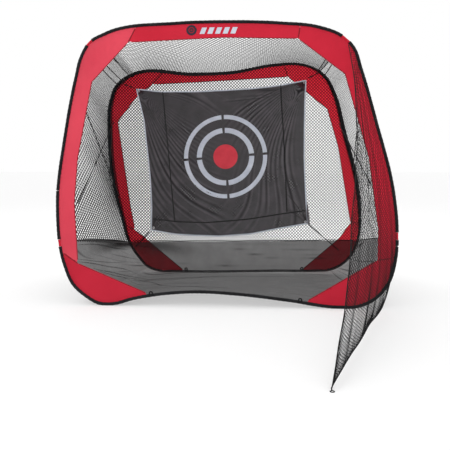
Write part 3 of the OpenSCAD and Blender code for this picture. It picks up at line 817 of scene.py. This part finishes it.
UNDER_SLEEVE = 0.0050
BANDS = {
    "front": ("front_frame", FRONT, FRONT_Y, FRONT_LEAN, "satin"),
    "rear": ("rear_frame", REAR, REAR_Y, REAR_LEAN, "satin_rear_painted_light"),
}
PARTS = ("top", "left", "right", "foot_left", "foot_right")
top_band = {}
for side, (body, hoop, base_y, lean, key) in BANDS.items():
    hoop_line = flat_hoop(hoop, base_y, lean)
    outlines = {part: node_outline(f"{side}_band_{part}", lean) for part in PARTS}
    for k, part in enumerate(PARTS):
        loops, depth = outlines[part]
        border = resampled(loops[0], 0.012)
        close, gap = nearest(border, hoop_line)
        at_hoop = gap < 0.018
        border[at_hoop] = (close + unit(border - close) * UNDER_SLEEVE)[at_hoop]
        at_seam = np.zeros(len(border), bool)
        for other in PARTS[k + 1:]:
            line = resampled(outlines[other][0][0], 0.002)
            close, gap = nearest(border, line)
            joined = (gap < 0.012) & ~at_hoop
            border[joined] = close[joined]
            at_seam |= joined
        touching = at_seam.copy()
        for other in PARTS[:k]:
            line = resampled(outlines[other][0][0], 0.002)
            touching |= nearest(border, line)[1] < 0.012
        flat, faces = fill(border, 0.012)
        seed = 11 * k + len(side)
        lift = cloth_lift(flat, border, seed)
        obj = new_mesh(f"band_{side}_{part}", in_space(flat, depth + CLOTH_HALF + lift, lean), faces)
        # the front band's left panel gets the lighter satin copy: painted highlight
        satin = "satin_painted_highlight" if (side, part) == ("front", "left") else key
        dress(obj, satin, node=f"{side}_band_{part}", body=body)
        low, high = flat.min(0), flat.max(0)
        area = flat_area(flat, faces)
        span = high - low
        if area / (span[0] * span[1]) > 0.3:
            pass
        else:
            turned = np.linalg.svd(flat - flat.mean(0), full_matrices=False)[2]
            turned_span = np.ptp((flat - flat.mean(0)) @ turned.T, axis=0)
            share = area / (turned_span[0] * turned_span[1])
            width = float(turned_span[1]) if share > 0.3 else area / float(turned_span[0]) / 0.5
        if (side, part) == ("front", "top"):
            top_band = {"border": border, "depth": depth, "seed": seed}
        normal = plane_axes(lean)[2]
        trims = []
        for run in runs(at_seam):
            path = in_space(border[run], depth + TRIM_PROUD, lean)
            trims.append(flat_tube(path, 0.004, 0.0012, normal))
        for run in runs(~at_hoop & ~touching):
            path = in_space(border[run], depth + CLOTH_HALF, lean)
            trims.append(flat_tube(path, 0.003, 0.0014, normal))
        if trims:
            trim = fast_mesh(f"band_{side}_{part}_stitching", *join_arrays(trims))
            dress(trim, "thread", body=body)

# ---------------------------------------------------------------- printed badge and dashes

def on_top_band(flat, proud):
    lift = cloth_lift(flat, top_band["border"], top_band["seed"])
    return in_space(flat, top_band["depth"] + CLOTH_HALF + lift + proud, FRONT_LEAN)


def print_grid(corners, rows, cols, proud):
    """Thin printed patch on the top band with four corners."""
    u, v = np.meshgrid(np.linspace(0, 1, rows), np.linspace(0, 1, cols), indexing="ij")
    u, v = u.reshape(-1, 1), v.reshape(-1, 1)
    a, b, c, d = [np.array(p, float) for p in corners]
    flat = a * (1 - u) * (1 - v) + b * u * (1 - v) + c * u * v + d * (1 - u) * v
    return on_top_band(flat, proud), grid_quads(rows, cols)


def disc_arrays(centre, r0, r1, a0, a1, rings, steps):
    """Flat sector of a ring: points and quads, angles in degrees."""
    r, a = np.meshgrid(np.linspace(r0, r1, rings), np.radians(np.linspace(a0, a1, steps)), indexing="ij")
    flat = np.stack([centre[0] + r.ravel() * np.cos(a.ravel()),
                     centre[1] + r.ravel() * np.sin(a.ravel())], 1)
    return flat, grid_quads(rings, steps)


BADGE = flattened((-0.225, 1.776), FRONT_Y, FRONT_LEAN)
flat, quads = disc_arrays(BADGE, 0.0005, 0.034, 0, 360, 8, 49)
badge = fast_mesh("badge_disc", on_top_band(flat, 0.0010), quads)
dress(badge, "badge", node="front_badge", body="front_frame")
parts = []
for r0, r1 in ((0.0005, 0.006), (0.014, 0.020)):
    flat, quads = disc_arrays(BADGE, r0, r1, 0, 360, 3, 41)
    parts.append((on_top_band(flat, TRIM_PROUD), quads))
arcs = fast_mesh("badge_rings", *join_arrays(parts))
dress(arcs, "thread", body="front_frame")

DASH_START, DASH_STEP, DASH_WIDTH = -0.172, 0.050, 0.032
DASH_LOW, DASH_HIGH, DASH_SLANT = 1.771, 1.813, 0.016
parts = []
for k in range(5):
    x = DASH_START + DASH_STEP * k
    low, high = (x, DASH_LOW), (x + DASH_SLANT, DASH_HIGH)
    corners = (low, (low[0] + DASH_WIDTH, DASH_LOW), (high[0] + DASH_WIDTH, DASH_HIGH), high)
    parts.append(print_grid(corners, 8, 8, 0.0010))
dashes = fast_mesh("badge_dashes", *join_arrays(parts))
dress(dashes, "white", body="front_frame")

# ---------------------------------------------------------------- tunnel nets and tray

HEM_LEFT = (22.39, 20.93)
HEM_RIGHT = (8.28, 9.3)
SEAM_TL = (27.5, 27.5)
SEAM_TR = (3.3, 3.3)
FLOOR_LEFT = (19.6, 18.9)
FLOOR_RIGHT = (12.4, 12.0)
NET_INSET = SLEEVE_R - 0.002


def tunnel_grid(f0, f1, r0, r1, rows, cols, sag=0.0, drop=0.0):
    s = np.linspace(0, 1, rows + 1)
    a = front_at(f0 + s * (f1 - f0), NET_INSET, 0.004)
    b = rear_at(r0 + s * (r1 - r0), NET_INSET, -REAR_LAYERS)
    t = np.linspace(0, 1, cols + 1)
    grid = a[:, None] + (b - a)[:, None] * t[None, :, None]
    bow = 4 * t * (1 - t)
    centre = np.array([0.0, 0.0, 0.9])
    inward = centre - grid
    inward[..., 1] = 0
    grid = grid + unit(inward) * (bow[None, :, None] * sag)
    grid[..., 2] -= bow[None, :] * drop
    return grid


def grid_lengths(grid):
    a = np.linalg.norm(np.diff(grid, axis=0), axis=2).sum(0).mean()
    b = np.linalg.norm(np.diff(grid, axis=1), axis=2).sum(1).mean()
    return float(a), float(b)


def blend_tunnel(obj):
    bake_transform(obj)


def tunnel_net(name, node, f, r, sag, drop, stretch, strand, spacing=NET_SPACING):
    grid = tunnel_grid(f[0], f[1], r[0], r[1], 90, 24, sag, drop)
    length, depth = grid_lengths(grid)
    outline = np.array([(0, 0), (length, 0), (length, depth), (0, depth)])

    def place(line):
        return sample(grid, line[:, 0] / length, line[:, 1] / depth)

    obj = net_piece(name, outline, place, (0.3, 0.1, 0.95), stretch, strand, spacing=spacing)
    dress(obj, "net", node=node)
    blend_tunnel(obj)


tunnel_net("net_tunnel_left", "tunnel_net_left",
           (HEM_LEFT[0], SEAM_TL[0]), (HEM_LEFT[1], SEAM_TL[1]), 0.0, 0.0, 1.15,
           lambda path: 0.0030 - 0.0014 * np.clip(path[:, 2] - 0.6, 0, 1), 0.0190)
tunnel_net("net_tunnel_top", "tunnel_net_top",
           (SEAM_TL[0], 30 + SEAM_TR[0]), (SEAM_TL[1], 30 + SEAM_TR[1]), 0.0, 0.015, 1.3, 0.0017)
tunnel_net("net_tunnel_right", "tunnel_net_right",
           (SEAM_TR[0], HEM_RIGHT[0]), (SEAM_TR[1], HEM_RIGHT[1]), 0.01, 0.0, 1.6, 0.0013)

# seams of the tunnel's corners, along the cloth from hoop to hoop
for name, f in (("seam_tunnel_left", SEAM_TL), ("seam_tunnel_right", SEAM_TR)):
    a = front_at(f[0], NET_INSET, 0.004)[0]
    b = rear_at(f[1], NET_INSET, -REAR_LAYERS)[0]
    t = np.linspace(0, 1, 30)[:, None]
    obj = fast_mesh(name, *flat_tube(a + (b - a) * t, 0.0022, 0.0015, (0.7, 0, 0.7)))
    dress(obj, "binding")
    blend_tunnel(obj)


def crease_lines(across, along_it, count, seed, size):
    """Long soft creases: height of the cloth, and how far into a fold it is, from 0 to 1, which sets the
    painted shade of the creases.
    """
    phase = (across * count + 0.55 * np.sin(2 * math.pi * 0.6 * along_it + seed)
             + 0.4 * np.sin(across * 13 + seed)
             + 0.12 * np.sin(2 * math.pi * 2.3 * along_it + across * 9))
    wave = np.sin(math.pi * phase)
    which = np.floor(phase + 0.5)
    strength = np.clip(0.5 + 0.7 * np.sin(which * 4.1 + seed), 0, 1)
    strength = strength * np.clip(0.55 + 0.6 * np.sin(2 * math.pi * (0.8 * along_it + 0.37 * which)), 0, 1)
    return size * (2 * np.abs(wave) ** 0.6 - 1) * strength, np.exp(-(wave / 0.26) ** 2) * strength


def tray_cloth(name, node, f, r, rows, seed, key, skew=None, arch=0.0):
    """Cloth of one side of the tray: with a skew its creases slant over the wall, without
    one they run along the hoops; its creases get painted shade. An arch lifts its upper edge
    between the hoops and puts painted shade along that edge."""
    grid = tunnel_grid(f[0], f[1], r[0], r[1], rows, TRAY_COLS)
    s, t = np.meshgrid(np.linspace(0, 1, rows + 1), np.linspace(0, 1, TRAY_COLS + 1), indexing="ij")
    away = np.clip(9 * t * (1 - t), 0, 1) * np.clip(14 * s * (1 - s), 0, 1)
    grid[..., 2] += arch * s * 4 * t * (1 - t)
    if skew is None:
        rise, crease_shading = crease_lines(t, s, 11, seed, 0.004)
    else:
        rise, crease_shading = crease_lines(s + skew * t, t, 9, seed, 0.004)
    grid[..., 2] += away * np.abs(rise)
    crease_shading = crease_shading * away
    if arch:
        # painted shade along the gathered upper edge
        gathered_shade = np.exp(-((s - 0.93) / 0.09) ** 2) * np.clip((t - 0.25) * 2.2, 0, 1)
        crease_shading = np.maximum(crease_shading, 0.75 * gathered_shade)
    obj = fast_mesh(name, grid.reshape(-1, 3), grid_quads(*grid.shape[:2]))
    paint_crease_shading(obj, crease_shading.ravel())
    dress(obj, key, node=node)
    blend_tunnel(obj)
    return grid


TRAY_COLS = 110
left_wall = tray_cloth("tray_cloth_left", "tray_wall_left", (FLOOR_LEFT[0], HEM_LEFT[0]),
                       (FLOOR_LEFT[1], HEM_LEFT[1]), 90, 3, "tray_left_painted_shade", 0.9, 0.014)
tray_floor = tray_cloth("tray_cloth_floor", "tray_floor", (FLOOR_RIGHT[0], FLOOR_LEFT[0]),
                        (FLOOR_RIGHT[1], FLOOR_LEFT[1]), 200, 4, "tray")
right_wall = tray_cloth("tray_cloth_right", "tray_wall_right", (HEM_RIGHT[0], FLOOR_RIGHT[0]),
                        (HEM_RIGHT[1], FLOOR_RIGHT[1]), 90, 5, "tray", -0.3)

# hems of the tray's side walls
HEM_R = 0.0030


def hem(name, node, path, radius=HEM_R):
    obj = fast_mesh(name, *capped_tube(path, radius, 8))
    dress(obj, "binding", node=node)
    return obj


for side, grid, row in (("left", left_wall, -1), ("right", right_wall, 0)):
    path = grid[row][1:-1].copy()
    path[:, 2] += 0.002
    blend_tunnel(hem("hem_tray_" + side, "tray_hem_" + side, path))


tray_rows = np.concatenate([right_wall, tray_floor, left_wall])
TRAY_ENDS = (
    (HEM_RIGHT, FLOOR_RIGHT, right_wall),
    (FLOOR_RIGHT, FLOOR_LEFT, tray_floor),
    (FLOOR_LEFT, HEM_LEFT, left_wall),
)
tray_along = np.concatenate([np.linspace(a[0], b[0], len(grid)) for a, b, grid in TRAY_ENDS])


def on_tray(u, t):
    """Points of the tray: u along the front hoop, t from the front hoop to the rear one."""
    return sample(tray_rows, np.interp(u, tray_along, np.linspace(0, 1, len(tray_along))), t)


def fold_shade_ribbon(width, *points):
    """Doubled cloth of a lying fold, dark along the fold as painted shade: a tapering ribbon just over the
    tray.
    """
    k = np.linspace(0, 1, 70)
    line = open_point(np.array(points), k)
    u, t = line[:, 0], line[:, 1]
    middle = on_tray(u, t)
    along_hoop = on_tray(u + 0.03, t) - on_tray(u - 0.03, t)
    normal = unit(np.cross(along_hoop, on_tray(u, t + 0.01) - on_tray(u, t - 0.01)))
    normal *= np.sign(((np.array([0, 0.6, 0.7]) - middle) * normal).sum(1))[:, None]
    side = unit(np.cross(unit(np.gradient(middle, axis=0)), normal))
    half = (width / 2) * np.sin(math.pi * np.clip(k, 0.02, 0.98)) ** 0.6
    rows = [middle + side * (half * w)[:, None] + normal * (0.0025 + 0.001 * math.cos(w * 1.5))
            for w in (-1, -0.4, 0.4, 1)]
    return np.stack(rows, 1).reshape(-1, 3), grid_quads(len(k), 4)


# ribbons of doubled cloth and painted fold shade: width and points (u along the front hoop, t towards the rear
# hoop)
TRAY_FOLD_SHADES = (
    (0.010, (22.29, 0.19), (22.22, 0.51), (21.81, 0.90)),
    (0.007, (22.34, 0.30), (22.30, 0.60), (22.20, 0.97)),
    (0.006, (22.00, 0.14), (21.52, 0.41), (20.97, 0.71)),
    (0.010, (21.86, 0.15), (21.40, 0.37), (20.50, 0.64), (19.56, 0.73)),
    (0.013, (21.33, 0.28), (20.48, 0.49), (19.19, 0.66), (17.95, 0.66)),
    (0.009, (21.18, 0.31), (20.07, 0.50), (18.98, 0.65)),
    (0.011, (20.48, 0.49), (17.99, 0.58), (16.36, 0.20), (15.28, 0.12)),
    (0.009, (19.28, 0.54), (16.93, 0.41), (16.10, 0.29)),
    (0.009, (17.01, 0.24), (16.28, 0.18), (15.60, 0.06)),
    (0.010, (16.60, 0.60), (15.20, 0.66), (13.80, 0.72)),
)
obj = fast_mesh("tray_fold_shades", *join_arrays([fold_shade_ribbon(*fold) for fold in TRAY_FOLD_SHADES]))
dress(obj, "fold")
blend_tunnel(obj)

# ---------------------------------------------------------------- back net and the tray's back wall

loops, back_depth = node_outline("back_net", REAR_LEAN)
NET_LEFT_R, NET_RIGHT_R = 0.0033, 0.0020


def place_back(line):
    return in_space(line, back_depth + CLOTH_HALF, REAR_LEAN)


def back_radius(path):
    share = np.clip((path[:, 0] + 0.9) / 1.5, 0, 1)
    return NET_LEFT_R + (NET_RIGHT_R - NET_LEFT_R) * share


def above(outline, low):
    """Part of a closed outline above a sloping line, given as height at x = 0 and slope."""
    kept = []
    for a, b in zip(outline, np.roll(outline, -1, 0)):
        over_a, over_b = a[1] - low @ [1, a[0]], b[1] - low @ [1, b[0]]
        if over_a >= 0:
            kept.append(a)
        if over_a * over_b < 0:
            kept.append(a + (b - a) * over_a / (over_a - over_b))
    return np.array(kept)


hem_low, hem_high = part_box("tray_hem_back")
hem_ends = on_rear_plane([(hem_low.x, hem_low.z - 0.007), (hem_high.x, hem_high.z - 0.014)])
hem_slope = (hem_ends[1, 1] - hem_ends[0, 1]) / (hem_ends[1, 0] - hem_ends[0, 0])
hem_flat = np.array([hem_ends[0, 1] - hem_slope * hem_ends[0, 0], hem_slope])
obj = net_piece("net_back", above(loops[0], hem_flat), place_back, (0, 1, -0.1), radius=back_radius,
                piece=0.3)
dress(obj, "net", node="back_net", body="rear_frame")


def edge_strip(u0, u1, inner, depth_back, key, name):
    """Doubled edge of the back net beside the rear sleeve, tapering at its ends."""
    u = even(rear_at, u0, u1, 0.02)
    k = np.linspace(0, 1, len(u))
    width = inner * np.clip(np.sin(math.pi * k), 0.05, 1) ** 0.5
    rows = [rear_at(u, SLEEVE_R * 0.8 + width * w, depth_back) for w in (0, 0.35, 0.7, 1.0)]
    obj = fast_mesh(name, np.stack(rows, 1).reshape(-1, 3), grid_quads(len(u), 4))
    dress(obj, key, body="rear_frame")


edge_strip(20.3, 33.2, 0.013, -0.0100, "binding", "net_back_tape_top")
edge_strip(2.8, 9.4, 0.014, -0.0100, "binding", "net_back_tape_right")
edge_strip(20.6, 28.2, 0.031, -0.0120, "net_edge", "net_back_edge_left")
edge_strip(2.4, 9.2, 0.022, -0.0120, "net_edge", "net_back_edge_right")

loops, depth = node_outline("tray_wall_back", REAR_LEAN)
flat, faces = fill(loops[0], 0.016)
away = np.clip(edge_distance(flat, loops[0]) / 0.05, 0, 1)
low, high = flat.min(0), flat.max(0)
rise, crease_shading = crease_lines((flat[:, 1] - low[1]) / (high[1] - low[1]),
                            (flat[:, 0] - low[0]) / (high[0] - low[0]), 9, 5, 0.002)
lift = away * rise
obj = new_mesh("tray_cloth_back", in_space(flat, depth + CLOTH_HALF + lift, REAR_LEAN), faces)
# painted shade in the wall's creases and in a patch along its top edge near the left
corner = flat - [low[0], high[1]]
gathered_shade = np.exp(-((corner[:, 0] - 0.22) / 0.30) ** 2
                  - ((corner[:, 1] + 0.03 + 0.12 * corner[:, 0]) / 0.055) ** 2)
paint_crease_shading(obj, np.maximum(away * crease_shading * 0.5, 0.45 * gathered_shade))
dress(obj, "tray_back_painted_shade", node="tray_wall_back", body="rear_frame")
span = np.ptp(flat, axis=0)
area = flat_area(flat, faces)

BACK_HEM_R = 0.0035
start, end = np.array(hem_low) + BACK_HEM_R, np.array(hem_high) - BACK_HEM_R
t = np.linspace(0, 1, 120)
path = start + t[:, None] * (end - start)
path[:, 2] += 0.0015 * np.sin(t * 23) + 0.001 * np.sin(t * 51)
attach(hem("hem_tray_back", "tray_hem_back", path, BACK_HEM_R), "rear_frame")

# ---------------------------------------------------------------- target

sheet_loops, sheet_depth = node_outline("target_sheet", REAR_LEAN)
target_depth = sheet_depth + CLOTH_HALF
target_border = widened(resampled(sheet_loops[0], 0.012), 0.0065)
TL, TR, BR, BL = on_rear_plane([(-0.801, 1.516), (0.611, 1.586), (0.631, 0.408), (-0.672, 0.346)])

CENTRE = on_rear_plane((-0.051, 0.957))

# Creases that run from a corner: corner, first and last angle in degrees, how many, reach, height.
FANS = (
    (TL, -86, -20, 23, 1.75, 0.0042), (TR, -160, -94, 21, 1.65, 0.0040),
    (BL, 30, 78, 5, 0.26, 0.0020), (BR, 102, 150, 5, 0.30, 0.0022), (TL, -24, -4, 4, 0.95, 0.0022),
    (TR, -176, -156, 4, 0.90, 0.0022),
)


def target_folds(flat):
    """Height of the creased sheet at flat points, and its painted shading: above 0.3 painted shade in the
    creases, below it a painted highlight between them.
    """
    height, depth, light = np.zeros(len(flat)), np.zeros(len(flat)), np.zeros(len(flat))
    for i, (corner, a0, a1, count, reach, size) in enumerate(FANS):
        d = flat - corner
        r = np.linalg.norm(d, axis=1)
        bend = 9 * np.sin(r * 3.1 + i)
        angle = np.degrees(np.arctan2(d[:, 1], d[:, 0]))
        share = (angle + bend - a0) / (a1 - a0)
        phase = share * count + 0.35 * np.sin(share * 9 + i) + 0.25 * np.sin(r * 8 + i * 2)
        wave = np.sin(math.pi * phase)
        edge = np.clip(np.minimum(share, 1 - share) * 8, 0, 1)
        which = np.floor(phase + 0.5)
        own_reach = reach * (0.72 + 0.28 * np.sin(which * 2.4 + i))
        fade = np.clip(r / 0.05, 0, 1) * np.clip(1 - r / own_reach, 0, 1) ** 0.4
        side = (flat[:, 0] - CENTRE[0]) * np.sign(corner[0] - CENTRE[0])
        fade *= np.clip(0.5 + side / 0.16, 0, 1)
        strength = edge * fade * (0.72 + 0.28 * np.sin(which * 4.1 + 2 * i))
        height -= size * (1 - 2 * np.abs(wave) ** 0.6) * strength
        width = np.clip(0.34 + 0.016 / np.maximum(r, 0.02), 0, 0.6)
        depth = np.maximum(depth, np.exp(-(wave / width) ** 2) * strength)
        # painted highlight between the creases
        light = np.maximum(light, wave**2 * strength)
    away = np.clip(edge_distance(flat, target_border) / 0.02, 0.15, 1)
    middle = np.clip(np.linalg.norm(flat - CENTRE, axis=1) / 0.35, 0.25, 1)
    lift = away * middle * height + wrinkle_field(flat, 31, 0.35, 0.003)
    return lift, 0.3 + middle * (0.7 * depth - 0.3 * light * (1 - depth))


def on_target(flat, proud=0.0):
    return in_space(flat, target_depth + target_folds(flat)[0] + proud, REAR_LEAN)


flat, faces = fill(target_border, 0.0070)
obj = new_mesh("target_cloth", on_target(flat), faces)
paint_crease_shading(obj, target_folds(flat)[1])
dress(obj, "target", node="target_sheet", body="target")

rear_normal = plane_axes(REAR_LEAN)[2]
binding = fast_mesh("target_edge_binding", *flat_tube(on_target(target_border), 0.0052, 0.0016,
                                                      rear_normal, closed=True))
dress(binding, "white", node="target_binding", body="target")

TURN = 4.5
parts = []
for outer, width, gap in ((0.341, 0.034, 0.020), (0.235, 0.041, 0.020)):
    half = math.degrees(gap / 2 / (outer - width / 2))
    for quarter in range(4):
        start = TURN + 90 * quarter + half
        flat, quads = disc_arrays(CENTRE, outer - width, outer, start, start + 90 - 2 * half, 6, 70)
        parts.append((on_target(flat, PRINT_PROUD), quads))
rings = fast_mesh("target_printed_rings", *join_arrays(parts))
dress(rings, "white", node="target_rings", body="target")
flat, quads = disc_arrays(CENTRE, 0.0005, 0.100, 0, 360, 14, 91)
bull = fast_mesh("target_printed_centre", on_target(flat, PRINT_PROUD), quads)
dress(bull, "red_print", node="target_bull", body="target")

TARGET_SEAMS = (
    ((-0.573, 1.490), (-0.532, 1.100), (-0.500, 0.760), (-0.468, 0.429)),
    ((0.394, 1.532), (0.418, 1.180), (0.440, 0.800), (0.454, 0.505)),
    ((-0.648, 0.449), (-0.440, 0.424), (-0.208, 0.419), (0.130, 0.448), (0.400, 0.492), (0.608, 0.522)),
)
parts = []
for line in TARGET_SEAMS:
    line = on_rear_plane(line)
    length = np.concatenate([[0], np.cumsum(np.linalg.norm(np.diff(line, axis=0), axis=1))])
    at = np.linspace(0, length[-1], int(length[-1] / 0.012))
    flat = np.stack([np.interp(at, length, line[:, 0]), np.interp(at, length, line[:, 1])], 1)
    parts.append(flat_tube(on_target(flat, CLOTH_HALF), 0.0045, 0.0014, rear_normal))
seams = fast_mesh("target_seams", *join_arrays(parts))
dress(seams, "binding", body="target")

# small turned-over fold at the target's lower right corner
TUCK_BEHIND = 0.006
fold = on_rear_plane([(0.614, 0.605), (0.626, 0.540), (0.636, 0.470), (0.641, 0.402), (0.622, 0.404),
                      (0.612, 0.500)])
flat, faces = fill(fold, 0.01)
tuck = new_mesh("target_corner_fold", in_space(flat, target_depth + TUCK_BEHIND, REAR_LEAN), faces)
dress(tuck, "target", body="target")

# ties from the target's corners to the rear hoop
TIES = {
    "target_tie_top_left": ((-0.806, 1.520), (-0.925, 1.570)),
    "target_tie_top_right": ((0.614, 1.590), (0.700, 1.640)),
    "target_tie_bottom_right": ((0.637, 0.404), (0.880, 0.200)),
    "target_tie_bottom_left": ((-0.678, 0.341), (-0.800, 0.215)),
}


TIE_R = 0.0040


def off_rear(point, gap):
    x, z = point
    return np.array([x, REAR_Y + REAR_LEAN * z, z]) + rear_normal * gap


for name, (inner, outer) in TIES.items():
    a, b = off_rear(outer, REAR_LAYERS + 0.012), off_rear(inner, TARGET_GAP)
    path = cord_path(a, b, 0.001)
    obj = make_cord(name, path, TIE_R)
    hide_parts("target_ties")
    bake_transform(obj)

# ---------------------------------------------------------------- side barrier

WING_FREE = np.array([
    (778, 225, 1692), (790, 40, 1475), (770, -244, 1150), (735, -460, 905),
    (680, -700, 650), (630, -940, 390), (570, -1134, 183), (517, -1285, 12)]) / 1000
WING_GROUND = np.array([
    (1045, 0, 120), (1010, -75, 30), (950, -215, 9), (850, -430, 6),
    (755, -687, 6), (667, -899, 6), (582, -1119, 6), (517, -1285, 6)]) / 1000


def wing_point(s, t):
    a = front_at(3.62 + s * (10.2 - 3.62), 0.004, -0.016)
    b = open_point(WING_FREE, s) + [0, FRONT_Y, 0]
    g = open_point(WING_GROUND, t)
    g0 = WING_GROUND[0] + (WING_GROUND[-1] - WING_GROUND[0]) * t[:, None]
    return a + (b - a) * t[:, None] + (g - g0) * (s**2)[:, None]


WING_ROWS, WING_COLS = 120, 80
s_, t_ = np.meshgrid(np.linspace(0.03, 0.992, WING_ROWS), np.linspace(0, 1, WING_COLS), indexing="ij")
wing_grid = wing_point(s_.ravel(), t_.ravel()).reshape(WING_ROWS, WING_COLS, 3)
pleat = (np.sin(2 * math.pi * (4.3 * t_ + 0.5 * s_)) + 0.6 * np.sin(2 * math.pi * (7.7 * t_ - 0.7 * s_) + 1)
         + 0.3 * np.sin(2 * math.pi * (13 * t_ + 0.4 * s_)))
quiet = np.clip(t_ * (1 - t_) * 5, 0, 1) * np.clip((1.0 - s_) * 9, 0.1, 1) * np.clip(s_ * 5, 0, 1)
wing_grid[..., 0] += 0.0020 * pleat * quiet
WING_TOP, WING_HEEL, WING_TIP = np.array([0, 1.62]), np.array([0.0, 0.0]), np.array([1.36, -0.05])


def place_wing(line):
    e1, e2 = WING_HEEL - WING_TOP, WING_TIP - WING_HEEL
    inverse = np.linalg.inv(np.stack([e1, e2], 1))
    w = (line - WING_TOP) @ inverse.T
    s = np.clip(w[:, 0], 1e-4, 1)
    return sample(wing_grid, s, np.clip(w[:, 1] / s, 0, 1))


def blend_wing(obj):
    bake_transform(obj)


def wing_strand(path):
    """Strands are finer high up and beside the hoop, where the net hangs loose."""
    before_hoop = FRONT_Y + FRONT_LEAN * path[:, 2] - path[:, 1]
    radius = 0.0016 - 0.0003 * np.clip(path[:, 2] / 0.7, 0, 1)
    return radius * (0.5 + 0.5 * np.clip(before_hoop / 0.22, 0, 1))


turned = np.array([WING_TOP, WING_TIP, WING_HEEL])[:, ::-1]
obj = net_piece("net_wing", turned, lambda line: place_wing(line[:, ::-1]), (1, 0.1, 0), 1.2,
                wing_strand, 0.03, 0.0175)
dress(obj, "net", node="wing_net")
blend_wing(obj)


def wing_line(s, t, off):
    return wing_point(np.asarray(s, float), np.asarray(t, float)) + off


s_free = np.linspace(0.03, 1, 90)
free = wing_line(s_free, np.ones(90), [-0.0015, -0.003, 0])
free[:, 0] += 0.0015 * np.sin(s_free * 41) * np.clip((1 - s_free) * 8, 0, 1)
t_ground = np.linspace(1, 0.1, 60)
ground = wing_line(np.ones(60), t_ground, [-0.005, 0, 0])
ground[:8, 2] -= np.linspace(0.0053, 0, 8)
free[-6:, 2] -= np.linspace(0, 0.0053, 6)
free[-1, 2] = 0.0042
edge = np.vstack([free, ground[1:]])
obj = fast_mesh("wing_edge_rope", *capped_tube(edge, 0.0027, 8))
dress(obj, "cord", node="wing_edge_cord")
blend_wing(obj)

lo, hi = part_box("wing_tip_loop")
middle = (lo + hi) / 2
angle = np.linspace(0, 2 * math.pi, 48, endpoint=False)
ring = np.stack([middle.x + 0.0080 * np.cos(angle), middle.y + 0.0080 * np.sin(angle),
                 np.full(48, middle.z)], 1)
obj = fast_mesh("wing_tip_webbing", *flat_tube(ring, 0.0030, 0.0015, (0, 0, 1), closed=True))
dress(obj, "binding", node="wing_tip_loop", body="wing")

# ---------------------------------------------------------------- stake loops

def stake_tab(node, body):
    """Loop of webbing: two legs sewn together below an eye, with a rounded edge."""
    lo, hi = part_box(node)
    width, height, thick = hi.x - lo.x, hi.z - lo.z, hi.y - lo.y
    eye_r, eye_z = 0.005, hi.z - width / 2
    angle = np.linspace(0, math.pi, 25)
    outer = [(width / 2 * math.cos(a), eye_z + width / 2 * math.sin(a)) for a in angle]
    outer = [(0, lo.z), (width / 2, lo.z)] + outer + [(-width / 2, lo.z), (0, lo.z)]
    outer = np.array(outer)
    share = np.linspace(0, 1, len(outer))
    inner_angle = -math.pi / 2 + 2 * math.pi * share
    inner = np.stack([eye_r * np.cos(inner_angle), eye_z + eye_r * np.sin(inner_angle)], 1)
    shape = [(0.00, 0.30), (0.05, 0.46), (0.12, 0.5), (0.80, 0.5), (0.90, 0.44), (1.00, 0.26)]
    section = shape + [(k, -d) for k, d in reversed(shape)]
    rows = []
    for k, d in section:
        line = inner + (outer - inner) * k
        depth = np.full(len(line), (lo.y + hi.y) / 2 + d * thick)
        rows.append(np.stack([(lo.x + hi.x) / 2 + line[:, 0], depth, line[:, 1]], 1))
    grid = np.stack(rows + rows[:1], 1)
    obj = fast_mesh(node.replace("stake_loop", "stake_webbing"), grid.reshape(-1, 3),
                    grid_quads(*grid.shape[:2]))
    dress(obj, "binding", node=node, body=body)


for n in ("front_left", "front_right", "rear_left", "rear_right"):
    stake_tab("stake_loop_" + n, "stake_loop_" + n)

# ---------------------------------------------------------------- floor, lights

floor_paint, _, floor_bsdf = node_material("studio_floor")
floor_bsdf.inputs["Base Color"].default_value = (0.52, 0.52, 0.52, 1)
floor_bsdf.inputs["Emission Color"].default_value = (1, 1, 1, 1)
floor_bsdf.inputs["Emission Strength"].default_value = 0.43
floor_bsdf.inputs["Roughness"].default_value = 0.9
floor_bsdf.inputs["Specular IOR Level"].default_value = 0.1
half = 40
corners = [(-half, -half, 0), (half, -half, 0), (half, half, 0), (-half, half, 0)]
floor = new_mesh("studio_floor", corners, [(0, 1, 2, 3)])
floor.data.materials.append(floor_paint)

world = bpy.data.worlds.new("studio")
bpy.context.scene.world = world
world.use_nodes = True
world.node_tree.nodes["Background"].inputs["Color"].default_value = (1, 1, 1, 1)
world.node_tree.nodes["Background"].inputs["Strength"].default_value = 1.0

LIGHTS = {
    "key": ((-2.6, -2.4, 3.6), (0, 0.5, 0.9), 2.0, 34),
    "fill": ((3.4, -2.2, 2.6), (0, 0.5, 0.7), 3.0, 8),
    "top": ((0, 3.0, 5.4), (0, -0.2, 0), 6.0, 90),
}
for name, (place, aim, size, power) in LIGHTS.items():
    data = bpy.data.lights.new(name, "AREA")
    data.size = size
    data.energy = power
    light = placed(name, data)
    light.location = place
    light.rotation_euler = (Vector(aim) - Vector(place)).to_track_quat("-Z", "Y").to_euler()

bpy.context.scene.view_settings.view_transform = "Standard"
bpy.context.scene.view_settings.look = "None"
